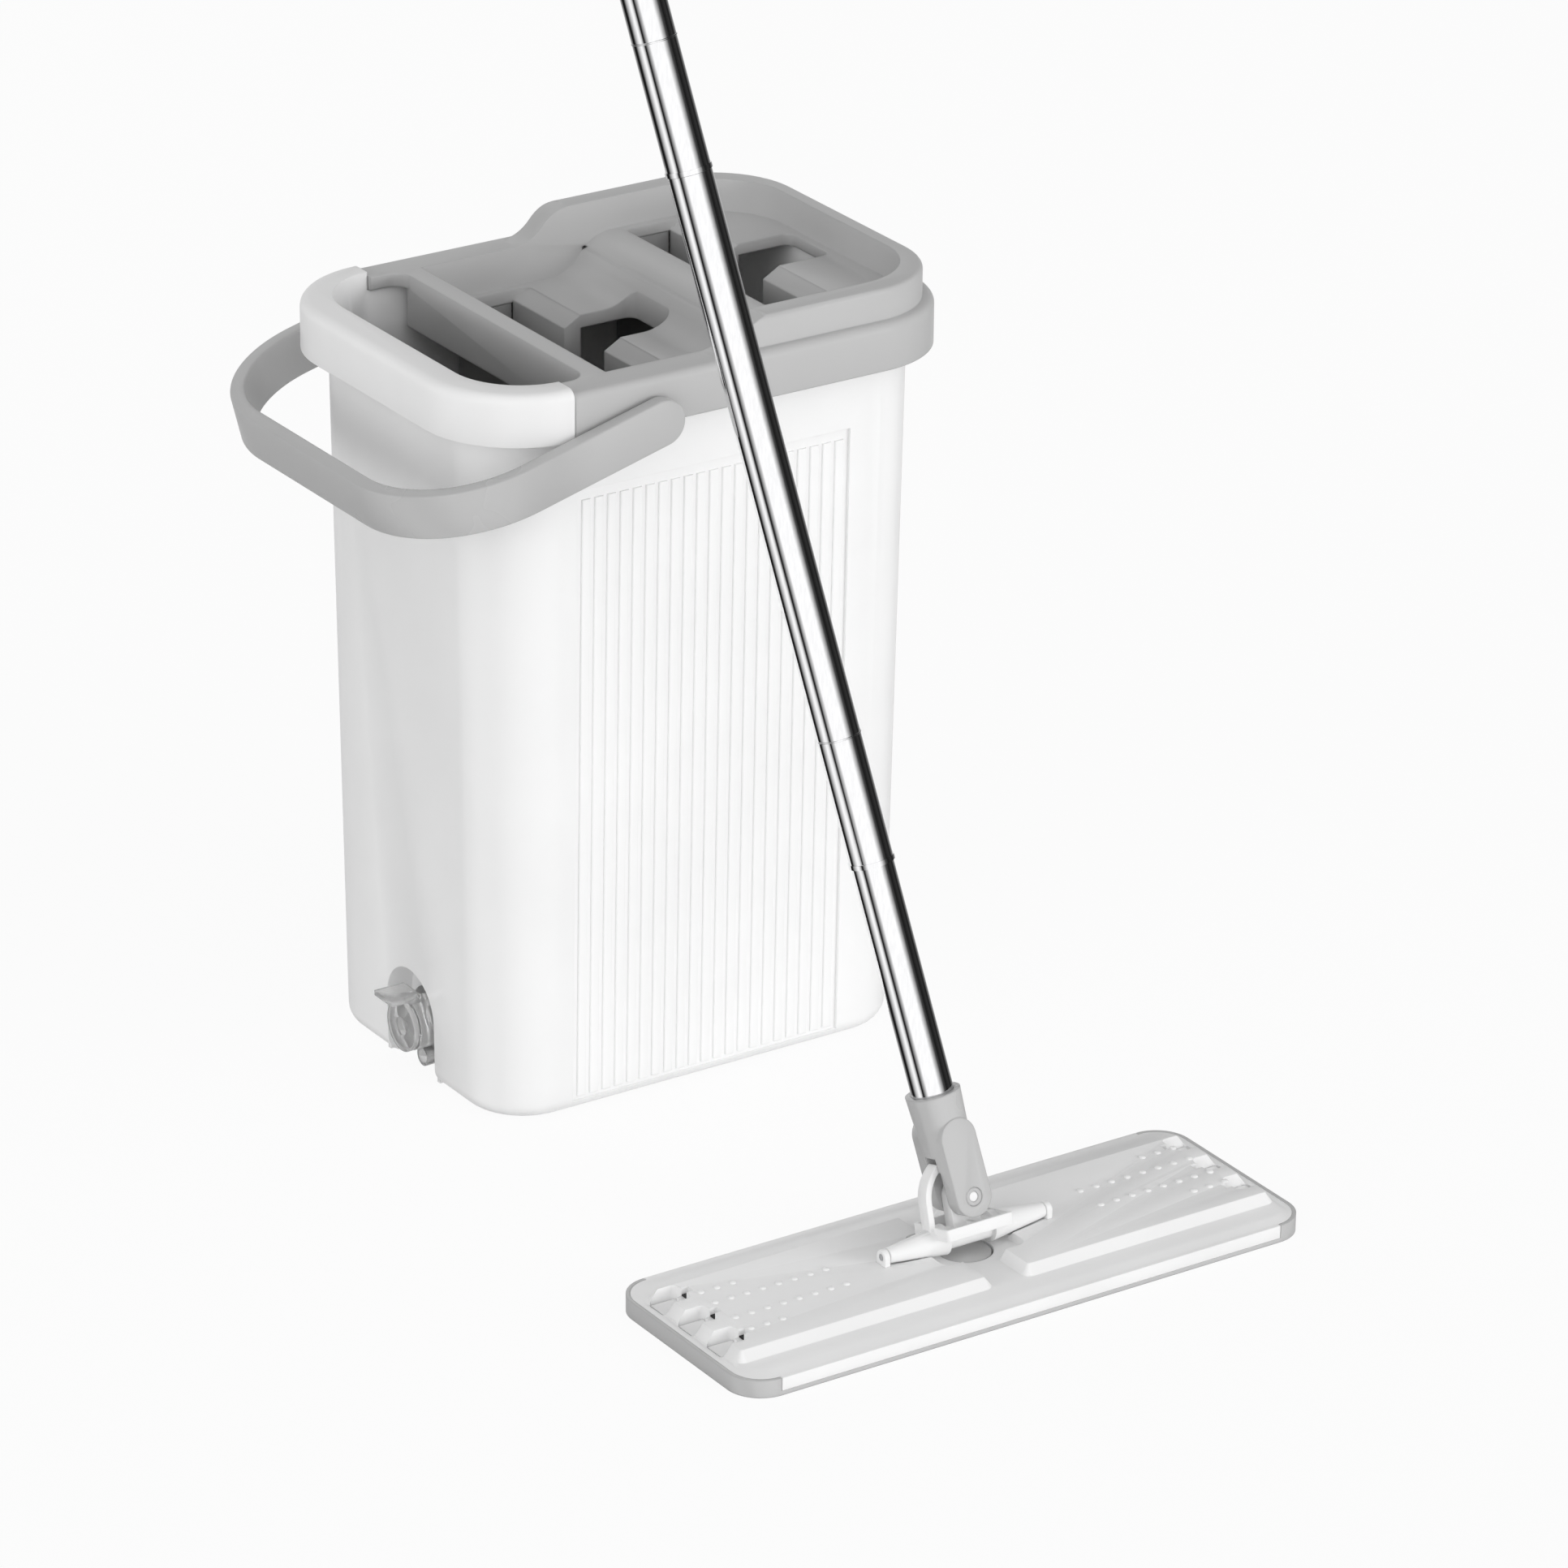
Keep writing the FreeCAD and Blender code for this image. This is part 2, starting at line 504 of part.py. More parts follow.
def makeCover():
    body = newBody("cover")
    rimOutline(newSketch(body, "cover_skirt", lift="dims.skirt_bottom"), "0", "dims.cover_front")
    pad(body, body.Group[-1], "dims.rim_top - dims.skirt_bottom")
    rimOutline(newSketch(body, "cover_high", lift="dims.rim_top - 1"), "dims.high_inset", "-30")
    pad(body, body.Group[-1], "dims.high_top - dims.rim_top + 1")

    def highTop(edge):
        return atHeight(size("dims.high_top"))(edge) and edge.BoundBox.XMax > -25.0
    fillet(body, highTop, "2.5")

    # the high wall sinks to the low rim in a smooth step
    step = newSketch(body, "cover_step", role="XZ_Plane", lift="dims.rim_width/2 + 2")
    rise = "dims.high_top - dims.rim_top"
    middle, top = sCurve("dims.step_start", "dims.step_run", "dims.rim_top", rise)
    outline(step, [
        ("-31", "dims.rim_top"),
        ("dims.step_start", "dims.rim_top"),
        middle,
        top,
        ("dims.step_start + dims.step_run", "dims.high_top + 2"),
        ("-31", "dims.high_top + 2"),
    ])
    pocket(body, step, "dims.rim_width + 4")

    # hollow below the rim, where the bucket's wall and lip go
    rimOutline(newSketch(body, "cover_hollow", lift="dims.cover_seat"), "dims.skirt_wall",
               "dims.cover_front - 1")
    pocket(body, body.Group[-1], "dims.cover_seat - dims.skirt_bottom + 1")

    # the sunk half of the tray
    block = newSketch(body, "tray_block", lift="dims.apron_bottom")
    roundedRect(block, "dims.apron_front", "dims.block_right", "-dims.block_half", "dims.block_half",
                "9")
    pad(body, block, "dims.cover_seat - dims.apron_bottom + 0.5")

    # the tray's hollow, with its floor climbing to the dry side
    tray = newSketch(body, "tray", role="XZ_Plane", lift="dims.tray_half")
    climb = "dims.floor_high - dims.floor_low"
    middle, top = sCurve("dims.ramp_start", "dims.ramp_run", "dims.floor_low", climb)
    outline(tray, [
        ("dims.tray_left", "dims.floor_low"),
        ("dims.ramp_start", "dims.floor_low"),
        middle,
        top,
        ("dims.tray_right - dims.tray_corner", "dims.floor_high"),
        ("dims.tray_right - dims.tray_corner", "dims.high_top + 2"),
        ("dims.tray_left", "dims.high_top + 2"),
    ])
    pocket(body, tray, "2*dims.tray_half")
    end = newSketch(body, "tray_end", lift="dims.high_top + 1")
    outline(end, [
        ("dims.tray_right - dims.tray_corner - 4", "-dims.tray_half"),
        ("dims.tray_right - dims.tray_corner", "-dims.tray_half"),
        ("dims.tray_right", "-dims.tray_half + dims.tray_corner", "dims.tray_corner", 1),
        ("dims.tray_right", "dims.tray_half - dims.tray_corner"),
        ("dims.tray_right - dims.tray_corner", "dims.tray_half", "dims.tray_corner", 1),
        ("dims.tray_right - dims.tray_corner - 4", "dims.tray_half"),
    ])
    pocket(body, end, "dims.high_top + 1 - dims.floor_high")

    # gap between the crossbar and the bucket's front band
    gap = newSketch(body, "front_gap", lift="dims.rim_top + 1")
    roundedRect(gap, "dims.cover_front - 30", "dims.apron_front",
                "-(dims.rim_width/2 - dims.gap_side)", "dims.rim_width/2 - dims.gap_side", "9")
    pocket(body, gap, "dims.rim_top + 1 - dims.apron_bottom + 1")

    # funnel guides stand in the slots before the slots' own walls are cut
    for name, left in (("wash", "dims.wash_left"), ("dry", "dims.dry_left")):
        right = "%s + dims.slot_wide" % left
        floorHeight = "dims.floor_low" if name == "wash" else "dims.floor_high"
        slot = newSketch(body, name + "_slot", lift="dims.high_top")
        roundedRect(slot, left, right, "dims.slot_front", "dims.slot_back", "4")
        pocket(body, slot, "80")
        gate = newSketch(body, name + "_gate", lift="dims.high_top")
        roundedRect(gate, "%s - 8" % right, "%s + dims.gate_wide" % right, "dims.gate_front",
                    "dims.gate_back", "5")
        pocket(body, gate, "80")
        for place_, low, high in (("back", "dims.gate_back", "dims.slot_back"),
                                  ("front", "dims.slot_front", "dims.gate_front")):
            guide = newSketch(body, "%s_guide_%s" % (name, place_), role="XZ_Plane",
                              lift="-(%s)" % high)
            outline(guide, [
                ("%s + 0.5" % right, floorHeight),
                ("%s - dims.guide_wide" % right, "%s - dims.guide_drop" % floorHeight),
                ("%s - dims.guide_wide" % right, "%s - dims.guide_deep" % floorHeight),
                ("%s + 0.5" % right, "%s - dims.guide_deep" % floorHeight),
            ])
            pad(body, guide, "%s - (%s)" % (high, low))

    def skirtEdge(edge):
        corner = edge.BoundBox
        low = atHeight(size("dims.rim_top"))(edge)
        outside = max(abs(corner.YMin), abs(corner.YMax)) > 96.0 or corner.XMax > 132.0
        return low and outside and edge.Length > 20.0
    fillet(body, skirtEdge, "4")
    return keep(body, "wringer_cover")


makeCover()


# ------------------------------------------------------------------------------- wringing chutes
def chuteFrame(name, left, top, bottom):
    """Open-ended chute that hangs below a slot and follows its funnel guides."""
    clear = "0.3"
    right = "(%s + dims.slot_wide)" % left
    outer = box(name + "_outer", "dims.slot_wide + 2*%s + 2*dims.chute_wall" % clear,
                "dims.slot_back - dims.slot_front + 2*%s + 2*dims.chute_wall" % clear,
                "%s - %s" % (top, bottom), "%s - %s - dims.chute_wall" % (left, clear),
                "dims.slot_front - %s - dims.chute_wall" % clear, bottom)
    inner = box(name + "_inner", "dims.slot_wide + 2*%s" % clear,
                "dims.slot_back - dims.slot_front + 2*%s" % clear, "%s - %s + 10" % (top, bottom),
                "%s - %s" % (left, clear), "dims.slot_front - %s" % clear, "%s - 5" % bottom)
    # two rows of drain slots near the bottom
    windows = []
    columns = 4
    step = "(dims.slot_back - dims.slot_front)/%d" % columns
    for number in range(2 * columns):
        row, column = divmod(number, columns)
        windows.append(box("%s_drain_slot_%d" % (name, number + 1), "80", "%s - 8" % step,
                           "dims.drain_slot", "%s - 20" % left,
                           "dims.slot_front + 4 + %d*%s" % (column, step),
                           "%s + 8 + %d*3*dims.drain_slot" % (bottom, row)))
    gate = box(name + "_gate_notch", "20", "dims.gate_back - dims.gate_front + 1", "40",
               "%s - 5" % right, "dims.gate_front - 0.5", "%s - 39" % top)
    return outer, [inner, gate] + windows


def makeChutes():
    lowTop = "(dims.apron_bottom - 0.2)"
    outer, tools = chuteFrame("wash_chute_frame", "dims.wash_left", lowTop, "dims.wash_chute_bottom")
    tools += [box("wash_chute_guide_room", "dims.guide_wide + 3", "200", "20",
                  "dims.wash_left + dims.slot_wide - dims.guide_wide - 0.4", "-100",
                  "dims.floor_low - dims.guide_deep - 0.3")]
    keep(cut("wash_chute_cut", outer, tools), "wash_chute")
    highTop = "(dims.cover_seat - 0.2)"
    outer, tools = chuteFrame("dry_chute_frame", "dims.dry_left", highTop, "dims.dry_chute_bottom")
    tools += [box("dry_chute_guide_room", "dims.guide_wide + 3", "200", "20",
                  "dims.dry_left + dims.slot_wide - dims.guide_wide - 0.4", "-100",
                  "dims.floor_high - dims.guide_deep - 0.3")]
    keep(cut("dry_chute_cut", outer, tools), "dry_chute")


makeChutes()


# -------------------------------------------------------------- rollers, comb, blade and flap
def makeWringerParts():
    front = "dims.slot_front + 1.5"
    inside = "dims.slot_back - dims.slot_front - 3"
    for name, height in (("upper", "dims.roller_high"), ("lower", "dims.roller_low")):
        keep(ring("roller_" + name, "dims.roller_radius", "dims.roller_pin + 0.06", inside,
                  "dims.wash_roller_x", front, height, "Y"), "wash_roller_" + name)
        pin = cylinder("roller_pin_" + name, "dims.roller_pin", "dims.slot_back - dims.slot_front",
                       "dims.wash_roller_x", "dims.slot_front", height, "Y")
        keep(pin, "wash_roller_pin_" + name)

    # a row of scrubbing teeth on the wash chute's right wall
    wall = "dims.wash_left + dims.slot_wide + 0.2"
    strip = box("comb_strip", "2.5", "dims.slot_back - dims.gate_back - 4", "30",
                "%s - 2.5" % wall, "dims.gate_back + 2", "268")
    teeth = [box("comb_tooth_%d" % (number + 1), "4", "2.4", "26", "%s - 6.3" % wall,
                 "dims.gate_back + 4 + %d*(dims.slot_back - dims.gate_back - 10)/7" % number, "270")
             for number in range(8)]
    keep(fuse("comb", [strip] + teeth), "wash_comb")

    # dry side: a fixed rubber blade on the left wall, a sprung flap with its own blade on the right
    left = "dims.dry_left - 0.2"
    holder = box("blade_holder", "3.6", inside, "16", left, front, "300")
    slotInHolder = box("blade_slot", "4", "dims.slot_back - dims.slot_front", "3.05",
                       "%s + 1.6" % left, "dims.slot_front", "306.5")
    keep(cut("blade_holder_cut", holder, [slotInHolder]), "dry_blade_holder")
    keep(box("blade_rubber", "dims.blade_reach", "%s - 2" % inside, "2.95", "%s + 1.65" % left,
             "%s + 1" % front, "306.55"), "dry_blade")

    flapX = "dims.flap_x"
    tubeOut = cylinder("flap_tube", "4", inside, flapX, front, "dims.flap_height", "Y")
    plate = box("flap_plate", "2.4", inside, "34", "%s - 1.2" % flapX, front,
                "dims.flap_height - 36")
    bore = cylinder("flap_bore", "dims.flap_pin + 0.06", "200", flapX, "-100", "dims.flap_height",
                    "Y")
    lipSlot = box("flap_lip_slot", "1.4", "200", "2.65", "%s - 1.6" % flapX, "-100",
                  "dims.flap_height - 33.1")
    keep(cut("flap_cut", fuse("flap_solid", [tubeOut, plate]), [bore, lipSlot]), "dry_flap")
    keep(box("flap_lip", "dims.blade_reach", "%s - 2" % inside, "2.5", "%s - 6.25" % flapX, "%s + 1" % front,
             "dims.flap_height - 33.02"), "dry_flap_blade")
    keep(cylinder("flap_pin", "dims.flap_pin", "dims.slot_back - dims.slot_front", flapX,
                  "dims.slot_front", "dims.flap_height", "Y"), "dry_flap_pin")


makeWringerParts()


# ------------------------------------------------------------------------------------- bail handle
def makeHandle():
    body = newBody("bail")
    band = newSketch(body, "bail_line", lift="-dims.bail_band/2")
    outer = "(dims.bail_inner + dims.bail_thick)"
    corner = "dims.bail_corner"
    inner = "(dims.bail_corner - dims.bail_thick)"
    reach = "dims.bail_reach"
    outline(band, [
        ("14", "-" + outer),
        ("14", "-dims.bail_inner"),
        ("-%s + %s" % (reach, corner), "-dims.bail_inner"),
        ("-%s + dims.bail_thick" % reach, "-%s + %s" % (outer, corner), inner, -1),
        ("-%s + dims.bail_thick" % reach, "%s - %s" % (outer, corner)),
        ("-%s + %s" % (reach, corner), "dims.bail_inner", inner, -1),
        ("14", "dims.bail_inner"),
        ("14", outer),
        ("-%s + %s" % (reach, corner), outer),
        ("-" + reach, "%s - %s" % (outer, corner), corner, 1),
        ("-" + reach, "-%s + %s" % (outer, corner)),
        ("-%s + %s" % (reach, corner), "-" + outer, corner, 1),
    ])
    pad(body, band, "dims.bail_band")
    ends = newSketch(body, "bail_ends", role="XZ_Plane", lift="-130")
    outline(ends, [
        ("0", "-dims.bail_band/2", "dims.bail_band/2", -1),
        ("16", "-dims.bail_band/2"),
        ("16", "dims.bail_band/2"),
        ("0", "dims.bail_band/2"),
        ("dims.bail_band/2", "0", "dims.bail_band/2", -1),
    ])
    pocket(body, ends, "260", backwards=True)
    # blind holes from inside take the cover's studs
    for name, outward in (("front", True), ("back", False)):
        hole = newSketch(body, "bail_hole_" + name, role="XZ_Plane")
        circle(hole, "0", "0", "dims.stud_radius + 0.08")
        pocket(body, hole, "dims.bail_inner + dims.stud_depth + 0.3", backwards=outward)

    # the band is lightened from inside and keeps a lip along its top edge
    dish = newSketch(body, "bail_dish", lift="dims.bail_band/2 - 16")
    outline(dish, [
        ("-%s + dims.bail_thick - 4" % reach, "-50"),
        ("-%s + dims.bail_thick + 4" % reach, "-50"),
        ("-%s + dims.bail_thick + 4" % reach, "50"),
        ("-%s + dims.bail_thick - 4" % reach, "50"),
    ])
    pocket(body, dish, "12", backwards=False)
    body.Placement = Placement(Vector(size("dims.pivot_x"), 0, size("dims.pivot_z")),
                               Rotation(Vector(0, 1, 0), -size("dims.bail_drop")))
    keep(body, "bail_handle")

    for name, side in (("front", -1), ("back", 1)):
        sign = "-" if side < 0 else ""
        along = "-Y" if side < 0 else "Y"
        skirt = "%s(dims.rim_width/2 + 0.02)" % sign
        stud = cylinder("stud_" + name, "dims.stud_radius",
                        "dims.bail_inner + dims.stud_depth - dims.rim_width/2 - 0.02",
                        "dims.pivot_x", skirt, "dims.pivot_z", along)
        keep(stud, "handle_stud_" + name)


makeHandle()


# --------------------------------------------------------------------------------------- mop plate
def plateAt(item):
    place(item, "dims.plate_x", "dims.plate_y", "0")
    return item


def steppedRect(sketch):
    """Outline of the white shell: full width along the sides, stepped in behind the end bands."""
    bend = "(dims.plate_length/2 - dims.plate_corner)"
    stop = "(%s - dims.band_gap)" % bend
    wide = "(dims.plate_width/2 - 0.05)"
    slim = "(dims.plate_width/2 - dims.band_thick - 0.05)"
    far = "(dims.plate_length/2 - dims.band_thick - 0.05)"
    turn = "(dims.plate_width/2 - dims.plate_corner)"
    corner = "dims.plate_corner - dims.band_thick - 0.05"
    outline(sketch, [
        (stop, "-" + wide),
        (stop, "-" + slim),
        (bend, "-" + slim),
        (far, "-" + turn, corner, 1),
        (far, turn),
        (bend, slim, corner, 1),
        (stop, slim),
        (stop, wide),
        ("-" + stop, wide),
        ("-" + stop, slim),
        ("-" + bend, slim),
        ("-" + far, turn, corner, 1),
        ("-" + far, "-" + turn),
        ("-" + bend, "-" + slim, corner, 1),
        ("-" + stop, "-" + slim),
        ("-" + stop, "-" + wide),
    ])


def makePlate():
    """Mop plate with its clips, hook strips and the ears that carry the joint's axle."""
    base = newBody("plate_base")
    centredRect(newSketch(base, "plate_foot"), "dims.plate_length", "dims.plate_width",
                "dims.plate_corner")
    pad(base, base.Group[-1], "dims.base_thick")
    # the grey plate turns up into a band at both short ends
    for name, side in (("left", -1), ("right", 1)):
        band = newSketch(base, "end_band_" + name, lift="dims.base_thick - 0.2")
        far = "%s(dims.plate_length/2)" % ("-" if side < 0 else "")
        turn = side
        curve = "%s(dims.plate_length/2 - dims.plate_corner)" % ("-" if side < 0 else "")
        inFar = "%s(dims.plate_length/2 - dims.band_thick)" % ("-" if side < 0 else "")
        edge = "(dims.plate_width/2)"
        bend = "dims.plate_corner"
        outline(band, [
            (curve, "-" + edge),
            (far, "-%s + %s" % (edge, bend), bend, turn),
            (far, "%s - %s" % (edge, bend)),
            (curve, edge, bend, turn),
            (curve, "%s - dims.band_thick" % edge),
            (inFar, "%s - %s" % (edge, bend), "%s - dims.band_thick" % bend, -turn),
            (inFar, "-%s + %s" % (edge, bend)),
            (curve, "-%s + dims.band_thick" % edge, "%s - dims.band_thick" % bend, -turn),
        ])
        pad(base, band, "dims.edge_top - dims.base_thick + 0.2")
    for name, side in (("left", -1), ("right", 1)):
        seat = newSketch(base, "strip_seat_" + name, lift="dims.strip_thick + 0.04")
        middle = "%s(dims.plate_length/2 - dims.strip_in)" % ("-" if side < 0 else "")
        long = "(dims.strip_long/2 + dims.strip_play)"
        wide = "(dims.strip_wide/2 + dims.strip_play)"
        roundedRect(seat, "%s - %s" % (middle, long), "%s + %s" % (middle, long), "-" + wide, wide,
                    "0.5")
        pocket(base, seat, "dims.strip_thick + 1")
    plateAt(base)
    keep(base, "base_plate")

    shell = newBody("plate_top")
    skin = newSketch(shell, "shell_edge", lift="dims.base_thick + 0.02")
    steppedRect(skin)
    pad(shell, skin, "dims.edge_top - dims.base_thick")
    web = newSketch(shell, "shell_web", lift="dims.edge_top - 1")
    centredRect(web, "dims.plate_length - 7", "dims.plate_width - 5", "dims.plate_corner - 4")
    pad(shell, web, "dims.web_top - dims.edge_top + 1", draft="-60")
    # two raised wings with sloping sides, one each side of the joint
    for name, left, right in (
            ("wing_left", "-dims.plate_length/2 + 6", "-dims.wing_gap_left"),
            ("wing_right", "dims.wing_gap_right", "dims.plate_length/2 - 6")):
        wing = newSketch(shell, name, lift="dims.web_top - 0.6")
        roundedRect(wing, left, right, "-dims.wing_half - dims.wing_bevel",
                    "dims.wing_half + dims.wing_bevel", "dims.wing_corner")
        pad(shell, wing, "dims.wing_top - dims.web_top + 0.6", draft="-36")
    # clip recesses, three at each short end, each with a small notch for the clip's root
    for number in range(3):
        for side in (-1, 1):
            end = "%d_%s" % (number + 1, "left" if side < 0 else "right")
            sign = "-" if side < 0 else ""
            middle = "(dims.clip_shift + %d*dims.clip_step)" % (number - 1)
            outer = "%s(dims.plate_length/2 - dims.pit_outer)" % sign
            inner = "%s(dims.plate_length/2 - dims.pit_inner)" % sign
            root = "%s(dims.plate_length/2 - dims.pit_inner - dims.notch_deep)" % sign
            mouth = "%s(dims.plate_length/2 - dims.pit_inner + 1)" % sign
            pit = newSketch(shell, "clip_pit_" + end, lift="dims.wing_top + 1")
            ends = (outer, inner) if side < 0 else (inner, outer)
            roundedRect(pit, ends[0], ends[1], "%s - dims.clip_half" % middle,
                        "%s + dims.clip_half" % middle, "3")
            pocket(shell, pit, "dims.wing_top + 1 - dims.pit_floor")
            notch = newSketch(shell, "clip_notch_" + end, lift="dims.wing_top + 1")
            ends = (mouth, root) if side < 0 else (root, mouth)
            roundedRect(notch, ends[0], ends[1], "%s - dims.notch_half" % middle,
                        "%s + dims.notch_half" % middle, "0.3")
            pocket(shell, notch, "dims.wing_top + 1 - dims.pit_floor")
    # room for the joint, and ears that hold its axle
    room = newSketch(shell, "joint_room", lift="dims.wing_top + 1")
    centredRect(room, "dims.room_length", "dims.room_width", "4")
    pocket(shell, room, "dims.wing_top + 1 - dims.web_top")
    well = newSketch(shell, "joint_well", lift="dims.wing_top + 1")
    circle(well, "0", "0", "dims.well_radius")
    pocket(shell, well, "dims.wing_top + 1 - 5")
    for name, side in (("left", -1), ("right", 1)):
        trough = shell.newObject("PartDesign::SubtractiveCone", "arm_trough_" + name)
        trough.AttachmentSupport = [(originPlane(shell, "YZ_Plane"), "")]
        trough.MapMode = "FlatFace"
        wide, slim = "dims.arm_root + 0.8", "dims.arm_tip + 0.8"
        bind(trough, "Radius1", wide if side > 0 else slim)
        bind(trough, "Radius2", slim if side > 0 else wide)
        bind(trough, "Height", "dims.arm_reach - dims.arm_start + 0.4")
        start = "dims.arm_start" if side > 0 else "-dims.arm_reach - 0.4"
        bind(trough, ".AttachmentOffset.Base.z", start)
        bind(trough, ".AttachmentOffset.Base.y", "dims.axle_z")
        doc.recompute()
    for name, side in (("left", -1), ("right", 1)):
        seat = newSketch(shell, "ear_seat_" + name, lift="dims.wing_top + 1")
        near, far = "dims.arm_reach + 0.3", "dims.arm_reach + dims.ear_thick + 0.5"
        ends = (near, far) if side > 0 else ("-(%s)" % far, "-(%s)" % near)
        half = "(dims.ear_radius + 0.1)"
        outline(seat, [(ends[0], "-" + half), (ends[1], "-" + half), (ends[1], half), (ends[0], half)])
        pocket(shell, seat, "dims.wing_top + 1 - dims.ear_seat")
    plateAt(shell)
    keep(shell, "plate_shell")

    for name, side in (("left", -1), ("right", 1)):
        reach = "%s(dims.arm_reach + 0.4)" % ("-" if side < 0 else "")
        shift = "- dims.ear_thick" if side < 0 else ""
        start = "dims.plate_x + %s %s" % (reach, shift)
        foot = box("ear_foot_" + name, "dims.ear_thick", "2*dims.ear_radius",
                   "dims.axle_z - dims.ear_seat - 0.05", start, "dims.plate_y - dims.ear_radius",
                   "dims.ear_seat + 0.05")
        crown = cylinder("ear_crown_" + name, "dims.ear_radius", "dims.ear_thick", start,
                         "dims.plate_y", "dims.axle_z", "X")
        hole = cylinder("ear_hole_" + name, "dims.axle_radius + 0.05", "12",
                        "dims.plate_x + %s - 6" % reach, "dims.plate_y", "dims.axle_z", "X")
        keep(cut("ear_" + name, fuse("ear_solid_" + name, [foot, crown]), [hole]), "axle_ear_" + name)
    keep(cylinder("axle", "dims.axle_radius", "2*dims.arm_reach + 2*dims.ear_thick + 0.6",
                  "dims.plate_x - dims.arm_reach - dims.ear_thick - 0.3", "dims.plate_y",
                  "dims.axle_z", "X"),
         "joint_axle")
    keep(cylinder("boss", "12", "4", "dims.plate_x", "dims.plate_y", "5.1"), "joint_boss")

    for number in range(3):
        for side in (-1, 1):
            name = "cloth_clip_%s_%d" % ("left" if side < 0 else "right", number + 1)
            sign = "-" if side < 0 else ""
            middle = "dims.plate_y + dims.clip_shift + %d*dims.clip_step" % (number - 1)
            near = "dims.plate_x + %s(dims.plate_length/2 - dims.pit_outer)" % sign
            tongue_long = "(dims.pit_inner - dims.pit_outer - 2)"
            root_long = "(dims.notch_deep + 2)"
            low = "dims.pit_floor + 0.1"
            tongue = box(name + "_tongue", tongue_long, "2*dims.clip_half - 2", "1.6",
                         "%s %s" % (near, "+ 1" if side < 0 else "- 1 - " + tongue_long),
                         "%s - dims.clip_half + 1" % middle, low)
            begin = "(dims.pit_inner - dims.pit_outer - 2.4)"
            root = box(name + "_root", root_long, "2*dims.notch_half - 0.4", "4.4",
                       "%s %s" % (near, "+ " + begin if side < 0 else "- %s - %s" % (begin, root_long)),
                       "%s - dims.notch_half + 0.2" % middle, low)
            keep(fuse(name, [tongue, root]), name)

    for name, side in (("left", -1), ("right", 1)):
        start = "dims.plate_x + %s(dims.plate_length/2 - dims.strip_in) - dims.strip_long/2" % (
            "-" if side < 0 else "")
        keep(box("strip_" + name, "dims.strip_long", "dims.strip_wide", "dims.strip_thick", start,
                 "dims.plate_y - dims.strip_wide/2"),
             "hook_strip_" + name)


makePlate()


# ----------------------------------------------------------------------------------- mop's joint
def leanBack():
    return Rotation(Vector(1, 0, 0), -size("dims.lean_back"))


